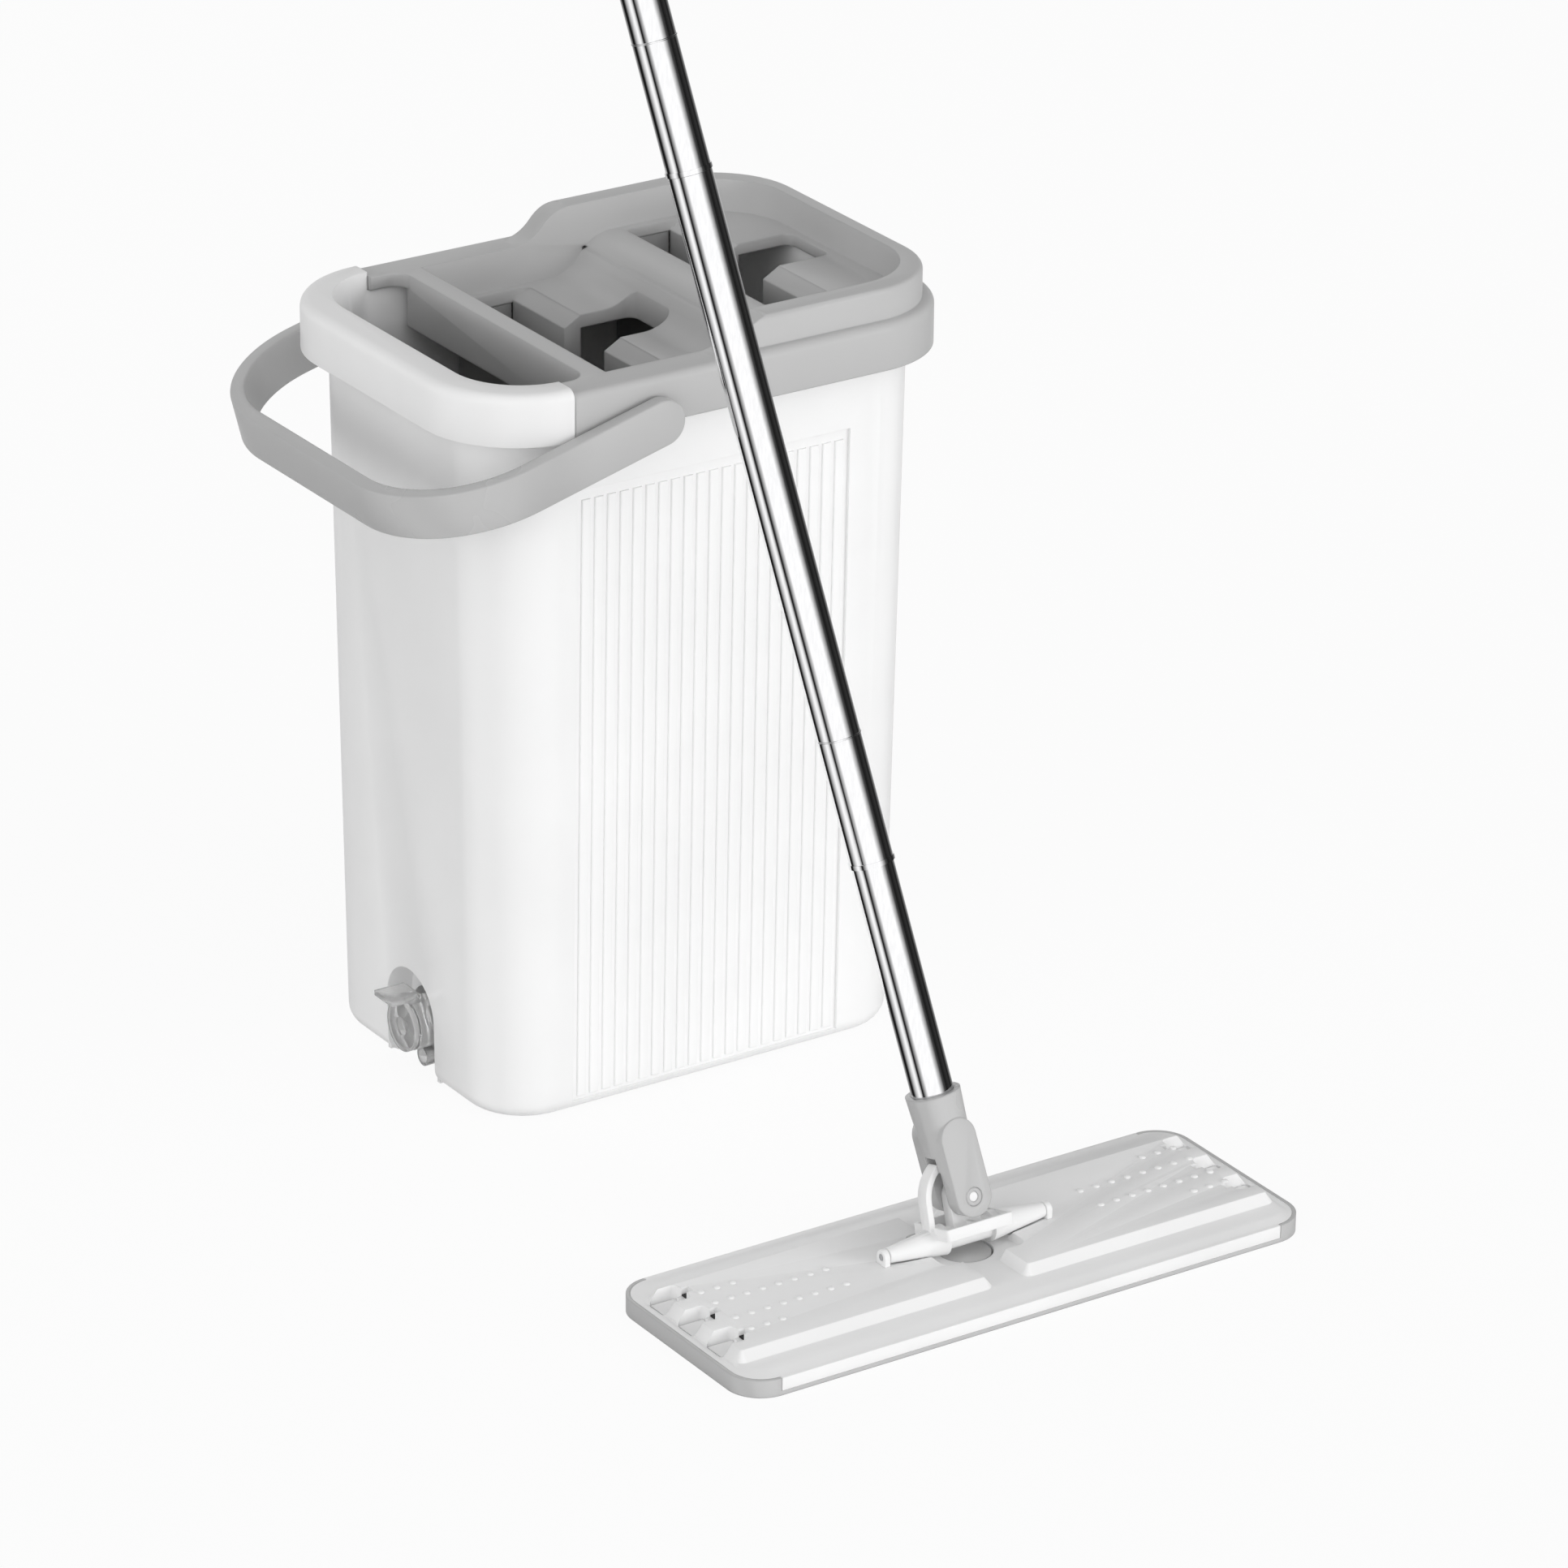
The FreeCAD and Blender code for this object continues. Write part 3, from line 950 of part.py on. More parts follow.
def makeYoke():
    """White yoke: local origin on the plate's axle, local Z along its own height."""
    body = newBody("yoke")
    deck = newSketch(body, "yoke_frame", lift="dims.frame_low")
    centredRect(deck, "2*dims.frame_x", "2*dims.frame_y", "2")
    centredRect(deck, "2*dims.frame_x - 2*dims.frame_wall", "2*dims.frame_y - 2*dims.frame_wall",
                "0.8")
    pad(body, deck, "dims.frame_top - dims.frame_low")
    # tapered arms run out along the axle, and a barrel joins them inside the frame
    for name, side in (("left", -1), ("right", 1)):
        arm = body.newObject("PartDesign::AdditiveCone", "arm_" + name)
        arm.AttachmentSupport = [(originPlane(body, "YZ_Plane"), "")]
        arm.MapMode = "FlatFace"
        bind(arm, "Radius1", "dims.arm_root" if side > 0 else "dims.arm_tip")
        bind(arm, "Radius2", "dims.arm_tip" if side > 0 else "dims.arm_root")
        bind(arm, "Height", "dims.arm_reach - dims.arm_start")
        bind(arm, ".AttachmentOffset.Base.z", "dims.arm_start" if side > 0 else "-dims.arm_reach")
        doc.recompute()
    core = body.newObject("PartDesign::AdditiveCylinder", "yoke_core")
    core.AttachmentSupport = [(originPlane(body, "YZ_Plane"), "")]
    core.MapMode = "FlatFace"
    bind(core, "Radius", "dims.core_radius")
    bind(core, "Height", "2*dims.arm_start + 1")
    bind(core, ".AttachmentOffset.Base.z", "-dims.arm_start - 0.5")
    doc.recompute()
    rib = newSketch(body, "yoke_rib", lift="dims.frame_low")
    centredRect(rib, "dims.frame_rib", "2*dims.frame_y - 1", "0.4")
    pad(body, rib, "4.8")
    # upright tongue that carries the pin
    tongue = newSketch(body, "yoke_tongue", role="XZ_Plane", lift="-dims.tongue_half")
    outline(tongue, [
        ("dims.tongue_round", "dims.tongue_foot"),
        ("dims.tongue_round", "dims.pin_rise"),
        ("0", "dims.pin_rise + dims.tongue_round", "dims.tongue_round", 1),
        ("-dims.tongue_round", "dims.pin_rise", "dims.tongue_round", 1),
        ("-dims.tongue_round", "dims.tongue_foot"),
    ])
    pad(body, tongue, "2*dims.tongue_half")
    # the stop arc stands on the frame and curves round the pin into the clevis's slot
    arc = newSketch(body, "yoke_arc", role="XZ_Plane", lift="-dims.tongue_half")
    outer = "dims.arc_out"
    inner = "(dims.arc_out - dims.arc_thick)"
    outline(arc, [
        ("-" + inner, "dims.tongue_foot"),
        ("-" + outer, "dims.tongue_foot"),
        ("-" + outer, "dims.pin_rise"),
        ("%s*cos(dims.arc_end)" % outer, "dims.pin_rise + %s*sin(dims.arc_end)" % outer, outer, -1),
        ("%s*cos(dims.arc_end)" % inner, "dims.pin_rise + %s*sin(dims.arc_end)" % inner),
        ("-" + inner, "dims.pin_rise", inner, 1),
    ])
    pad(body, arc, "2*dims.tongue_half")
    pinHole = newSketch(body, "yoke_pin_hole", role="XZ_Plane", lift="-20")
    circle(pinHole, "0", "dims.pin_rise", "dims.pin_radius + 0.06")
    pocket(body, pinHole, "40", backwards=True)
    bore = newSketch(body, "yoke_bore", role="YZ_Plane", lift="-dims.arm_reach - 1")
    circle(bore, "0", "0", "dims.axle_radius + 0.06")
    pocket(body, bore, "2*dims.arm_reach + 2", backwards=True)
    body.Placement = Placement(Vector(size("dims.plate_x"), size("dims.plate_y"),
                                      size("dims.axle_z")), leanBack())
    return keep(body, "mop_yoke")


makeYoke()


# --------------------------------------------------------------------------------------- mop's pole
def poleFrame():
    """Frame of the pole: origin on the clevis pin, Z up the pole."""
    back = leanBack()
    origin = Vector(size("dims.plate_x"), size("dims.plate_y"), size("dims.axle_z"))
    origin = origin + back.multVec(Vector(0, 0, size("dims.pin_rise")))
    return Placement(origin, back.multiply(Rotation(Vector(0, 1, 0), -size("dims.lean_side"))))


def onPole(item, along="0"):
    """Moves a finished piece, built upright from its own base, up the pole."""
    frame = poleFrame()
    item.Placement = frame.multiply(Placement(Vector(0, 0, size(along)), Rotation()))
    return item


def makeClevis():
    """Grey clevis: local origin on its pin, Z up the pole, with the pin and its two rings."""
    body = newBody("clevis")
    fork = newSketch(body, "clevis_fork", role="XZ_Plane", lift="-dims.clevis_deep/2")
    half = "(dims.clevis_wide/2)"
    outline(fork, [
        (half, "0", half, 1),
        (half, "dims.cheek_top"),
        ("0", "dims.cheek_top + %s" % half, half, 1),
        ("-" + half, "dims.cheek_top", half, 1),
        ("-" + half, "0"),
        ("0", "-" + half, half, 1),
    ])
    pad(body, fork, "dims.clevis_deep")
    socket = newSketch(body, "clevis_socket", lift="dims.socket_low")
    centredRect(socket, "dims.socket_wide", "dims.socket_deep", "dims.socket_corner")
    pad(body, socket, "dims.clevis_top - dims.socket_low", draft="dims.socket_draft")
    gap = newSketch(body, "clevis_gap", role="YZ_Plane", lift="-20")
    outline(gap, [
        ("-dims.tongue_half - dims.slot_play", "-20"),
        ("dims.tongue_half + dims.slot_play", "-20"),
        ("dims.tongue_half + dims.slot_play", "dims.arc_out + dims.arc_play"),
        ("-dims.tongue_half - dims.slot_play", "dims.arc_out + dims.arc_play"),
    ])
    pocket(body, gap, "40", backwards=True)
    hole = newSketch(body, "clevis_hole", role="XZ_Plane", lift="-20")
    circle(hole, "0", "0", "dims.pin_radius + 0.04")
    pocket(body, hole, "40", backwards=True)
    sink = newSketch(body, "clevis_sink", role="XZ_Plane", lift="dims.clevis_deep/2")
    circle(sink, "0", "0", "dims.ring_radius + 0.1")
    pocket(body, sink, "dims.ring_sink")
    mirrored = newSketch(body, "clevis_sink_back", role="XZ_Plane", lift="-dims.clevis_deep/2")
    circle(mirrored, "0", "0", "dims.ring_radius + 0.1")
    pocket(body, mirrored, "dims.ring_sink", backwards=True)
    bore = newSketch(body, "clevis_bore", lift="dims.stub_start")
    circle(bore, "0", "0", "dims.stub_radius + 0.05")
    pocket(body, bore, "60", backwards=True)
    keep(onPole(body), "pole_clevis")

    pin = cylinder("pin_shank", "dims.pin_radius", "dims.clevis_deep - 1.4", along="Y")
    keep(pin, "clevis_pin")
    frame = poleFrame()
    start = Placement(Vector(0, -size("dims.clevis_deep") / 2 + 0.7, 0), Rotation(Vector(1, 0, 0), -90))
    pin.setExpression(".Placement.Base.x", None)
    pin.setExpression(".Placement.Base.y", None)
    pin.setExpression(".Placement.Base.z", None)
    pin.Placement = frame.multiply(start)
    for name, side in (("front", -1), ("back", 1)):
        washer = ring("pin_ring_solid_" + name, "dims.ring_radius", "dims.pin_radius + 0.02",
                      "dims.ring_thick", extra="1")
        offset = size("dims.clevis_deep") / 2 - 1.5
        washer.Placement = frame.multiply(Placement(Vector(0, side * offset, 0),
                                                    Rotation(Vector(1, 0, 0), -90 * side)))
        keep(washer, "pin_ring_" + name)


makeClevis()


def tube(name, radius, start, end, lip=False):
    """Stainless tube; a lip is the rolled rim where the section below goes in."""
    body = newBody(name + "_tube")
    wall = newSketch(body, name + "_wall")
    circle(wall, "0", "0", radius)
    circle(wall, "0", "0", "%s - dims.tube_wall" % radius)
    pad(body, wall, "%s - (%s)" % (end, start))
    if lip:
        rolled = newSketch(body, name + "_lip")
        circle(rolled, "0", "0", "%s + 0.5" % radius)
        circle(rolled, "0", "0", "%s - dims.tube_wall" % radius)
        pad(body, rolled, "2.2")
    onPole(body, start)
    return keep(body, name)


def makePole():
    first = "dims.joint_height"
    tube("pole_stub", "dims.stub_radius", "dims.stub_start", "%s - 0.2" % first)
    heights = [first]
    for name in ("lower", "middle", "upper"):
        start = heights[-1]
        end = "%s + dims.section_length" % start
        tube("pole_" + name, "dims.tube_radius", start, "%s - 0.2" % end, lip=True)
        heights.append(end)
    # threaded plugs join one section to the next inside the tubes
    for name, height, below in (("lower", heights[0], "dims.stub_radius"),
                                ("middle", heights[1], "dims.tube_radius"),
                                ("upper", heights[2], "dims.tube_radius")):
        body = newBody("plug_" + name)
        low = newSketch(body, "plug_low_" + name)
        circle(low, "0", "0", "%s - dims.tube_wall - 0.05" % below)
        pad(body, low, "dims.plug_long/2")
        high = newSketch(body, "plug_high_" + name, lift="dims.plug_long/2 - 1")
        circle(high, "0", "0", "%s - dims.tube_wall - 0.05"
               % ("dims.tube_radius" if name != "lower" else "dims.stub_radius"))
        pad(body, high, "dims.plug_long/2 + 1")
        core = newSketch(body, "plug_core_" + name)
        circle(core, "0", "0", "4")
        pocket(body, core, "dims.plug_long + 1", backwards=True)
        onPole(body, "%s - dims.plug_long/2" % height)
        keep(body, "thread_plug_" + name)

    top = heights[-1]
    sleeve = newBody("grip")
    ringSketch = newSketch(sleeve, "grip_wall")
    circle(ringSketch, "0", "0", "dims.grip_radius")
    circle(ringSketch, "0", "0", "dims.tube_radius + 0.05")
    pad(sleeve, ringSketch, "dims.grip_long")
    for number in range(6):
        grooveSketch = newSketch(sleeve, "grip_groove_%d" % (number + 1),
                                 lift="18 + %d*(dims.grip_long - 36)/5 - 1.2" % number)
        circle(grooveSketch, "0", "0", "dims.grip_radius + 1")
        circle(grooveSketch, "0", "0", "dims.grip_radius - 0.8")
        pocket(sleeve, grooveSketch, "2.4", backwards=True)
    onPole(sleeve, "%s - dims.grip_long - 2" % top)
    keep(sleeve, "grip_sleeve")

    cap = newBody("hang")
    plug = newSketch(cap, "cap_plug")
    circle(plug, "0", "0", "dims.tube_radius - dims.tube_wall - 0.05")
    pad(cap, plug, "16")
    crown = newSketch(cap, "cap_crown", lift="15.9")
    circle(crown, "0", "0", "dims.grip_radius")
    pad(cap, crown, "6")
    loop = newSketch(cap, "cap_loop", role="XZ_Plane", lift="-4")
    outline(loop, [
        ("dims.grip_radius", "21"),
        ("dims.grip_radius", "dims.cap_long + 8"),
        ("0", "dims.cap_long + 8 + dims.grip_radius", "dims.grip_radius", 1),
        ("-dims.grip_radius", "dims.cap_long + 8", "dims.grip_radius", 1),
        ("-dims.grip_radius", "21"),
    ])
    pad(cap, loop, "8")
    eye = newSketch(cap, "cap_eye", role="XZ_Plane", lift="-10")
    outline(eye, [
        ("7", "30"),
        ("7", "dims.cap_long + 8"),
        ("0", "dims.cap_long + 15", "7", 1),
        ("-7", "dims.cap_long + 8", "7", 1),
        ("-7", "30"),
    ])
    pocket(cap, eye, "20", backwards=True)
    onPole(cap, "%s - 16" % top)
    keep(cap, "hang_cap")


makePole()


# ------------------------------------------------------------------------------ check and write out
doc.recompute()
broken = [item.Name for item in doc.Objects if "Invalid" in item.State or "Error" in item.State]
if broken:
    raise RuntimeError("failed objects: " + ", ".join(broken))
os.makedirs("parts", exist_ok=True)
for item in nodes:
    shape = item.Shape
    if shape.isNull() or not shape.isValid() or not shape.Solids:
        raise RuntimeError("bad shape: " + item.Label)
    shape.exportStep(os.path.join("parts", item.Label + ".step"))
    box_ = shape.BoundBox
    print("%-24s solids %d  volume %9.0f  x %.1f..%.1f  y %.1f..%.1f  z %.1f..%.1f" % (
        item.Label, len(shape.Solids), shape.Volume, box_.XMin, box_.XMax, box_.YMin, box_.YMax,
        box_.ZMin, box_.ZMax))
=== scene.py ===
import bpy
import bmesh
import json
import math
from mathutils import Matrix, Vector


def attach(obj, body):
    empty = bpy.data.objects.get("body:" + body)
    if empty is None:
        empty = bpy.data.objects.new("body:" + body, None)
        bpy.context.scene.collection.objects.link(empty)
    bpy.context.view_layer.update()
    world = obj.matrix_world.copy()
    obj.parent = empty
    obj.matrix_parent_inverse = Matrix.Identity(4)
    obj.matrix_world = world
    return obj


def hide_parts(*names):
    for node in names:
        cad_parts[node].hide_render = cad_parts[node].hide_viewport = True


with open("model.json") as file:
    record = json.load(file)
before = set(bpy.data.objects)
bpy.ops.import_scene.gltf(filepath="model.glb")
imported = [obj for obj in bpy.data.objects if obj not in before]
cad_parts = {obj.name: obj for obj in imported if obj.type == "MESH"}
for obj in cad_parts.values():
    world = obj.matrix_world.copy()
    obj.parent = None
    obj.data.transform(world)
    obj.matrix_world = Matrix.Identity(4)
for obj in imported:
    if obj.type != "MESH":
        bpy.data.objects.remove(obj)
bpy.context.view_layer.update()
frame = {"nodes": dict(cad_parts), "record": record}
print("frame loaded:", len(frame["nodes"]), "nodes")

mm = 0.001


def linearColour(hexText, alpha=1.0):
    parts = [int(hexText[i:i + 2], 16) / 255 for i in (1, 3, 5)]
    return [p / 12.92 if p <= 0.04045 else ((p + 0.055) / 1.055) ** 2.4 for p in parts] + [alpha]


def addNode(tree, kind, values=None, links=None, **settings):
    added = tree.nodes.new(kind)
    for name, value in settings.items():
        setattr(added, name, value)
    for key, value in (values or {}).items():
        added.inputs[key].default_value = value
    for key, source in (links or {}).items():
        tree.links.new(source, added.inputs[key])
    return added


# what the moulded plastics share: a slow drift in tone from the melt's flow, and a fine grain
# pressed in by the tool, which breaks up the sheen
def mouldedPlastic(name, tone, drift, grainMm, flowMm, roughness, grainDepthMm, edgeMm=0.0, **shader):
    material = bpy.data.materials.new(name)
    material.use_nodes = True
    tree = material.node_tree
    tree.nodes.clear()
    place = addNode(tree, "ShaderNodeTexCoord").outputs["Object"]
    flow = addNode(tree, "ShaderNodeTexNoise", {"Scale": 1 / (flowMm * mm), "Detail": 3.0,
                                                "Roughness": 0.55}, {"Vector": place})
    grain = addNode(tree, "ShaderNodeTexNoise", {"Scale": 1 / (grainMm * mm), "Detail": 2.0},
                    {"Vector": place})
    ramp = addNode(tree, "ShaderNodeValToRGB", None, {"Fac": flow.outputs["Fac"]})
    ramp.color_ramp.elements[0].position = 0.3
    ramp.color_ramp.elements[0].color = linearColour(drift)
    ramp.color_ramp.elements[1].position = 0.7
    ramp.color_ramp.elements[1].color = linearColour(tone)
    sheen = addNode(tree, "ShaderNodeMapRange", {"From Min": 0.3, "From Max": 0.7,
                                                 "To Min": roughness[0], "To Max": roughness[1]},
                    {"Value": flow.outputs["Fac"]})
    bump = addNode(tree, "ShaderNodeBump", {"Strength": 0.35, "Distance": grainDepthMm * mm},
                   {"Height": grain.outputs["Fac"]})
    if edgeMm:
        edge = addNode(tree, "ShaderNodeBevel", {"Radius": edgeMm * mm}, None, samples=6)
        tree.links.new(edge.outputs["Normal"], bump.inputs["Normal"])
    body = addNode(tree, "ShaderNodeBsdfPrincipled", shader,
                   {"Base Color": ramp.outputs["Color"], "Roughness": sheen.outputs["Result"],
                    "Normal": bump.outputs["Normal"]})
    addNode(tree, "ShaderNodeOutputMaterial", None, {"Surface": body.outputs["BSDF"]})
    return material


# what the metals share: streaks drawn out along the work, seen as thin changes in gloss
def workedMetal(name, tone, drift, streakMm, roughness, axis, depthMm):
    material = bpy.data.materials.new(name)
    material.use_nodes = True
    tree = material.node_tree
    tree.nodes.clear()
    place = addNode(tree, "ShaderNodeTexCoord").outputs["Object"]
    turned = addNode(tree, "ShaderNodeMapping", {"Rotation": axis, "Scale": (1.0, 1.0, 0.02)},
                     {"Vector": place})
    streak = addNode(tree, "ShaderNodeTexNoise", {"Scale": 1 / (streakMm * mm), "Detail": 2.0},
                     {"Vector": turned.outputs["Vector"]})
    ramp = addNode(tree, "ShaderNodeValToRGB", None, {"Fac": streak.outputs["Fac"]})
    ramp.color_ramp.elements[0].position = 0.35
    ramp.color_ramp.elements[0].color = linearColour(drift)
    ramp.color_ramp.elements[1].position = 0.65
    ramp.color_ramp.elements[1].color = linearColour(tone)
    gloss = addNode(tree, "ShaderNodeMapRange", {"From Min": 0.3, "From Max": 0.7,
                                                 "To Min": roughness[0], "To Max": roughness[1]},
                    {"Value": streak.outputs["Fac"]})
    bump = addNode(tree, "ShaderNodeBump", {"Strength": 0.1, "Distance": depthMm * mm},
                   {"Height": streak.outputs["Fac"]})
    body = addNode(tree, "ShaderNodeBsdfPrincipled", {"Metallic": 1.0},
                   {"Base Color": ramp.outputs["Color"], "Roughness": gloss.outputs["Result"],
                    "Normal": bump.outputs["Normal"]})
    addNode(tree, "ShaderNodeOutputMaterial", None, {"Surface": body.outputs["BSDF"]})
    return material


# leans of the mop's pole, in degrees, and the middle of its joint's pin
pole = {"leanBack": 16.0, "leanSide": 7.45, "pin": Vector((-10.5, -300.54, 35.3)) * mm}
poleTurn = (Matrix.Rotation(math.radians(-pole["leanBack"]), 4, "X")
            @ Matrix.Rotation(math.radians(-pole["leanSide"]), 4, "Y"))
poleFrame = Matrix.Translation(pole["pin"]) @ poleTurn
poleEuler = poleTurn.inverted().to_euler("XYZ")

materials = {
    # bucket: moulded white polypropylene, soft sheen, barely darker where the melt met
    "white_plastic": mouldedPlastic("moulded white polypropylene", "#f7f7f7", "#f3f3f3", 0.5, 90,
                                    (0.3, 0.4), 0.03, 0.5, IOR=1.49),
    # mop plate and joint: a stiffer white resin, a shade duller than the bucket
    "plate_plastic": mouldedPlastic("moulded white ABS", "#f1f1f1", "#ededed", 0.5, 60,
                                    (0.3, 0.4), 0.03, 0.5, IOR=1.53),
    # cover, bail, plate: moulded light grey polypropylene with a fine eggshell
    "grey_plastic": mouldedPlastic("moulded grey polypropylene", "#bfbfbf", "#bcbcbc", 0.45, 70,
                                   (0.27, 0.31), 0.035, 1.1, IOR=1.49),
    # chutes, rollers: the same resin in a darker batch
    "chute_plastic": mouldedPlastic("moulded slate polypropylene", "#9a9a9a", "#929292", 0.5, 50,
                                    (0.4, 0.5), 0.04, 0.5, IOR=1.49),
    # drain: clear polystyrene, bright edges and a little haze
    "clear_plastic": mouldedPlastic("clear moulded polystyrene", "#fdfdfd", "#f8f8f8", 0.9, 30,
                                    (0.04, 0.12), 0.02, 0.0, IOR=1.55, **{"Transmission Weight": 0.75}),
    # gasket and blades: black thermoplastic rubber, dry and dull
    "dark_rubber": mouldedPlastic("black thermoplastic rubber", "#1c1c1d", "#151516", 0.4, 25,
                                  (0.55, 0.7), 0.05, 0.2, IOR=1.52),
    # pole: buffed stainless tube, near mirror, drawn lines along it
    "polished_tube": workedMetal("buffed stainless tube", "#f2f2f3", "#ebebec", 1.2, (0.03, 0.07),
                                 poleEuler, 0.004),
    # pins and axle: centreless ground steel, satin
    "steel_pin": workedMetal("ground steel pin", "#c9cacc", "#b9babd", 0.6, (0.22, 0.32),
                             (math.pi / 2, 0.0, 0.0), 0.01),
    # thread plugs: nylon, a waxy half-shine where they show at a joint
    "plug_plastic": mouldedPlastic("nylon thread plug", "#a9abac", "#a0a2a4", 0.5, 20, (0.4, 0.5),
                                   0.04, 0.3, IOR=1.53),
    # grip: soft-touch rubber, dull with a pebbled feel
    "grip_rubber": mouldedPlastic("soft touch grip rubber", "#8a8c8f", "#818386", 0.8, 30,
                                  (0.6, 0.75), 0.12, 0.4, IOR=1.5),
    # top cap: the cover's grey resin with a crisper edge
    "cap_plastic": mouldedPlastic("moulded grey cap", "#bfbfbf", "#b7b7b7", 0.45, 30, (0.24, 0.34),
                                  0.035, 0.8, IOR=1.49),
    # hook strip: woven nylon with cut loops, matt and nearly black
    "hook_fabric": mouldedPlastic("woven nylon hook tape", "#2c2d2f", "#202122", 0.7, 3, (0.8, 0.95),
                                  0.2, 0.0, IOR=1.53, **{"Sheen Weight": 0.4}),
}
print("materials made:", len(materials))

record = frame["record"]
slotOf = {part["node"]: part["material_slot"] for part in record["subparts"]}
bodyOf = {node: body for body, group in record["behaviour"]["bodies"].items() for node in group}


def finishPiece(piece, body):
    for polygon in piece.data.polygons:
        polygon.use_smooth = True
    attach(piece, body)
    return piece


# how CAD nodes are softened: points closer than "join" become one, facets flatter than "flat" degrees
# become one face, and edges sharper than "sharp" degrees are broken
softening = {"join": 0.002 * mm, "flat": 0.3, "sharp": 35.0, "segments": 2}


def softenNode(node, widthMm):
    sharp = math.radians(softening["sharp"])
    source = frame["nodes"][node]
    form = bmesh.new()
    form.from_mesh(source.data)
    bmesh.ops.remove_doubles(form, verts=form.verts, dist=softening["join"])
    bmesh.ops.dissolve_limit(form, angle_limit=math.radians(softening["flat"]), verts=form.verts,
                             edges=form.edges)
    mesh = bpy.data.meshes.new(node + "_soft")
    form.to_mesh(mesh)
    form.free()
    mesh.materials.clear()
    mesh.materials.append(materials[slotOf[node]])
    piece = bpy.data.objects.new(node + "_soft", mesh)
    bpy.context.scene.collection.objects.link(piece)
    if widthMm:
        bevel = piece.modifiers.new("edge", "BEVEL")
        bevel.width = widthMm * mm
        bevel.segments = softening["segments"]
        bevel.limit_method = "ANGLE"
        bevel.angle_limit = sharp
        bevel.use_clamp_overlap = True
        seen = piece.evaluated_get(bpy.context.evaluated_depsgraph_get())
        made = bpy.data.meshes.new_from_object(seen)
        piece.modifiers.clear()
        piece.data = made
        made.name = node + "_soft"
    piece.data.set_sharp_from_angle(angle=sharp)
    finishPiece(piece, bodyOf[node])
    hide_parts(node)
    return piece


# how far each softened node's edges are broken, in mm; the tubes only have their facets joined
softened = {
    "bucket_body": 0.6, "wringer_cover": 1.0, "bail_handle": 1.2, "plate_shell": 0.5, "base_plate": 0.4,
    "mop_yoke": 0.5, "pole_clevis": 0.8, "grip_sleeve": 0.4, "hang_cap": 0.9, "wash_chute": 0.4,
    "dry_chute": 0.4, "axle_ear_left": 0.4, "axle_ear_right": 0.4, "handle_stud_front": 0.6,
    "handle_stud_back": 0.6, "drain_nut": 0.4, "joint_boss": 0.4, "clevis_pin": 0.3, "dry_flap": 0.3,
    "dry_blade_holder": 0.4, "wash_comb": 0.3, "drain_plug": 0.3, "drain_seat": 0.3,
    "drain_pull_tab": 0.4, "pole_lower": 0.0, "pole_middle": 0.0, "pole_upper": 0.0, "pole_stub": 0.0,
    "pin_ring_front": 0.15, "pin_ring_back": 0.15, "wash_roller_upper": 0.5, "wash_roller_lower": 0.5,
}
for node, width in softened.items():
    softenNode(node, width)
for node, item in frame["nodes"].items():
    for slot in item.material_slots:
        slot.material = materials[slotOf[node]]
print("nodes softened:", len(softened))


# a modifier's tree with named sizes; the result is made a plain mesh and rides like any piece
def newTree(name, sizes):
    tree = bpy.data.node_groups.new(name, "GeometryNodeTree")
    tree.interface.new_socket("Geometry", in_out="OUTPUT", socket_type="NodeSocketGeometry")
    for label, value in sizes.items():
        kind = "NodeSocketInt" if isinstance(value, int) else "NodeSocketFloat"
        if isinstance(value, Vector):
            kind = "NodeSocketVector"
        tree.interface.new_socket(label, in_out="INPUT", socket_type=kind)
    return tree


def grow(name, tree, sizes, body, turn=Matrix.Identity(4)):
    piece = bpy.data.objects.new(name, bpy.data.meshes.new(name))
    bpy.context.scene.collection.objects.link(piece)
    modifier = piece.modifiers.new("grow", "NODES")
    modifier.node_group = tree
    for item in tree.interface.items_tree:
        if item.item_type == "SOCKET" and item.in_out == "INPUT":
            modifier[item.identifier] = sizes[item.name]
    seen = piece.evaluated_get(bpy.context.evaluated_depsgraph_get())
    made = bpy.data.meshes.new_from_object(seen)
    piece.modifiers.clear()
    made.transform(turn)
    made.name = name
    piece.data = made
    made.set_sharp_from_angle(angle=math.radians(40))
    return finishPiece(piece, body)


def closeTree(tree, geometry, slot):
    real = addNode(tree, "GeometryNodeRealizeInstances", None, {"Geometry": geometry})
    dressed = addNode(tree, "GeometryNodeSetMaterial", {"Material": materials[slot]},
                      {"Geometry": real.outputs["Geometry"]})
    addNode(tree, "NodeGroupOutput", None, {"Geometry": dressed.outputs["Geometry"]})


# upright ribs that fill the sunk panels on the bucket's long sides
ribs = {"Count": 21, "Pitch": 6.83 * mm, "Width": 4.7 * mm, "Rise": 1.9 * mm, "Corner": 0.8 * mm}


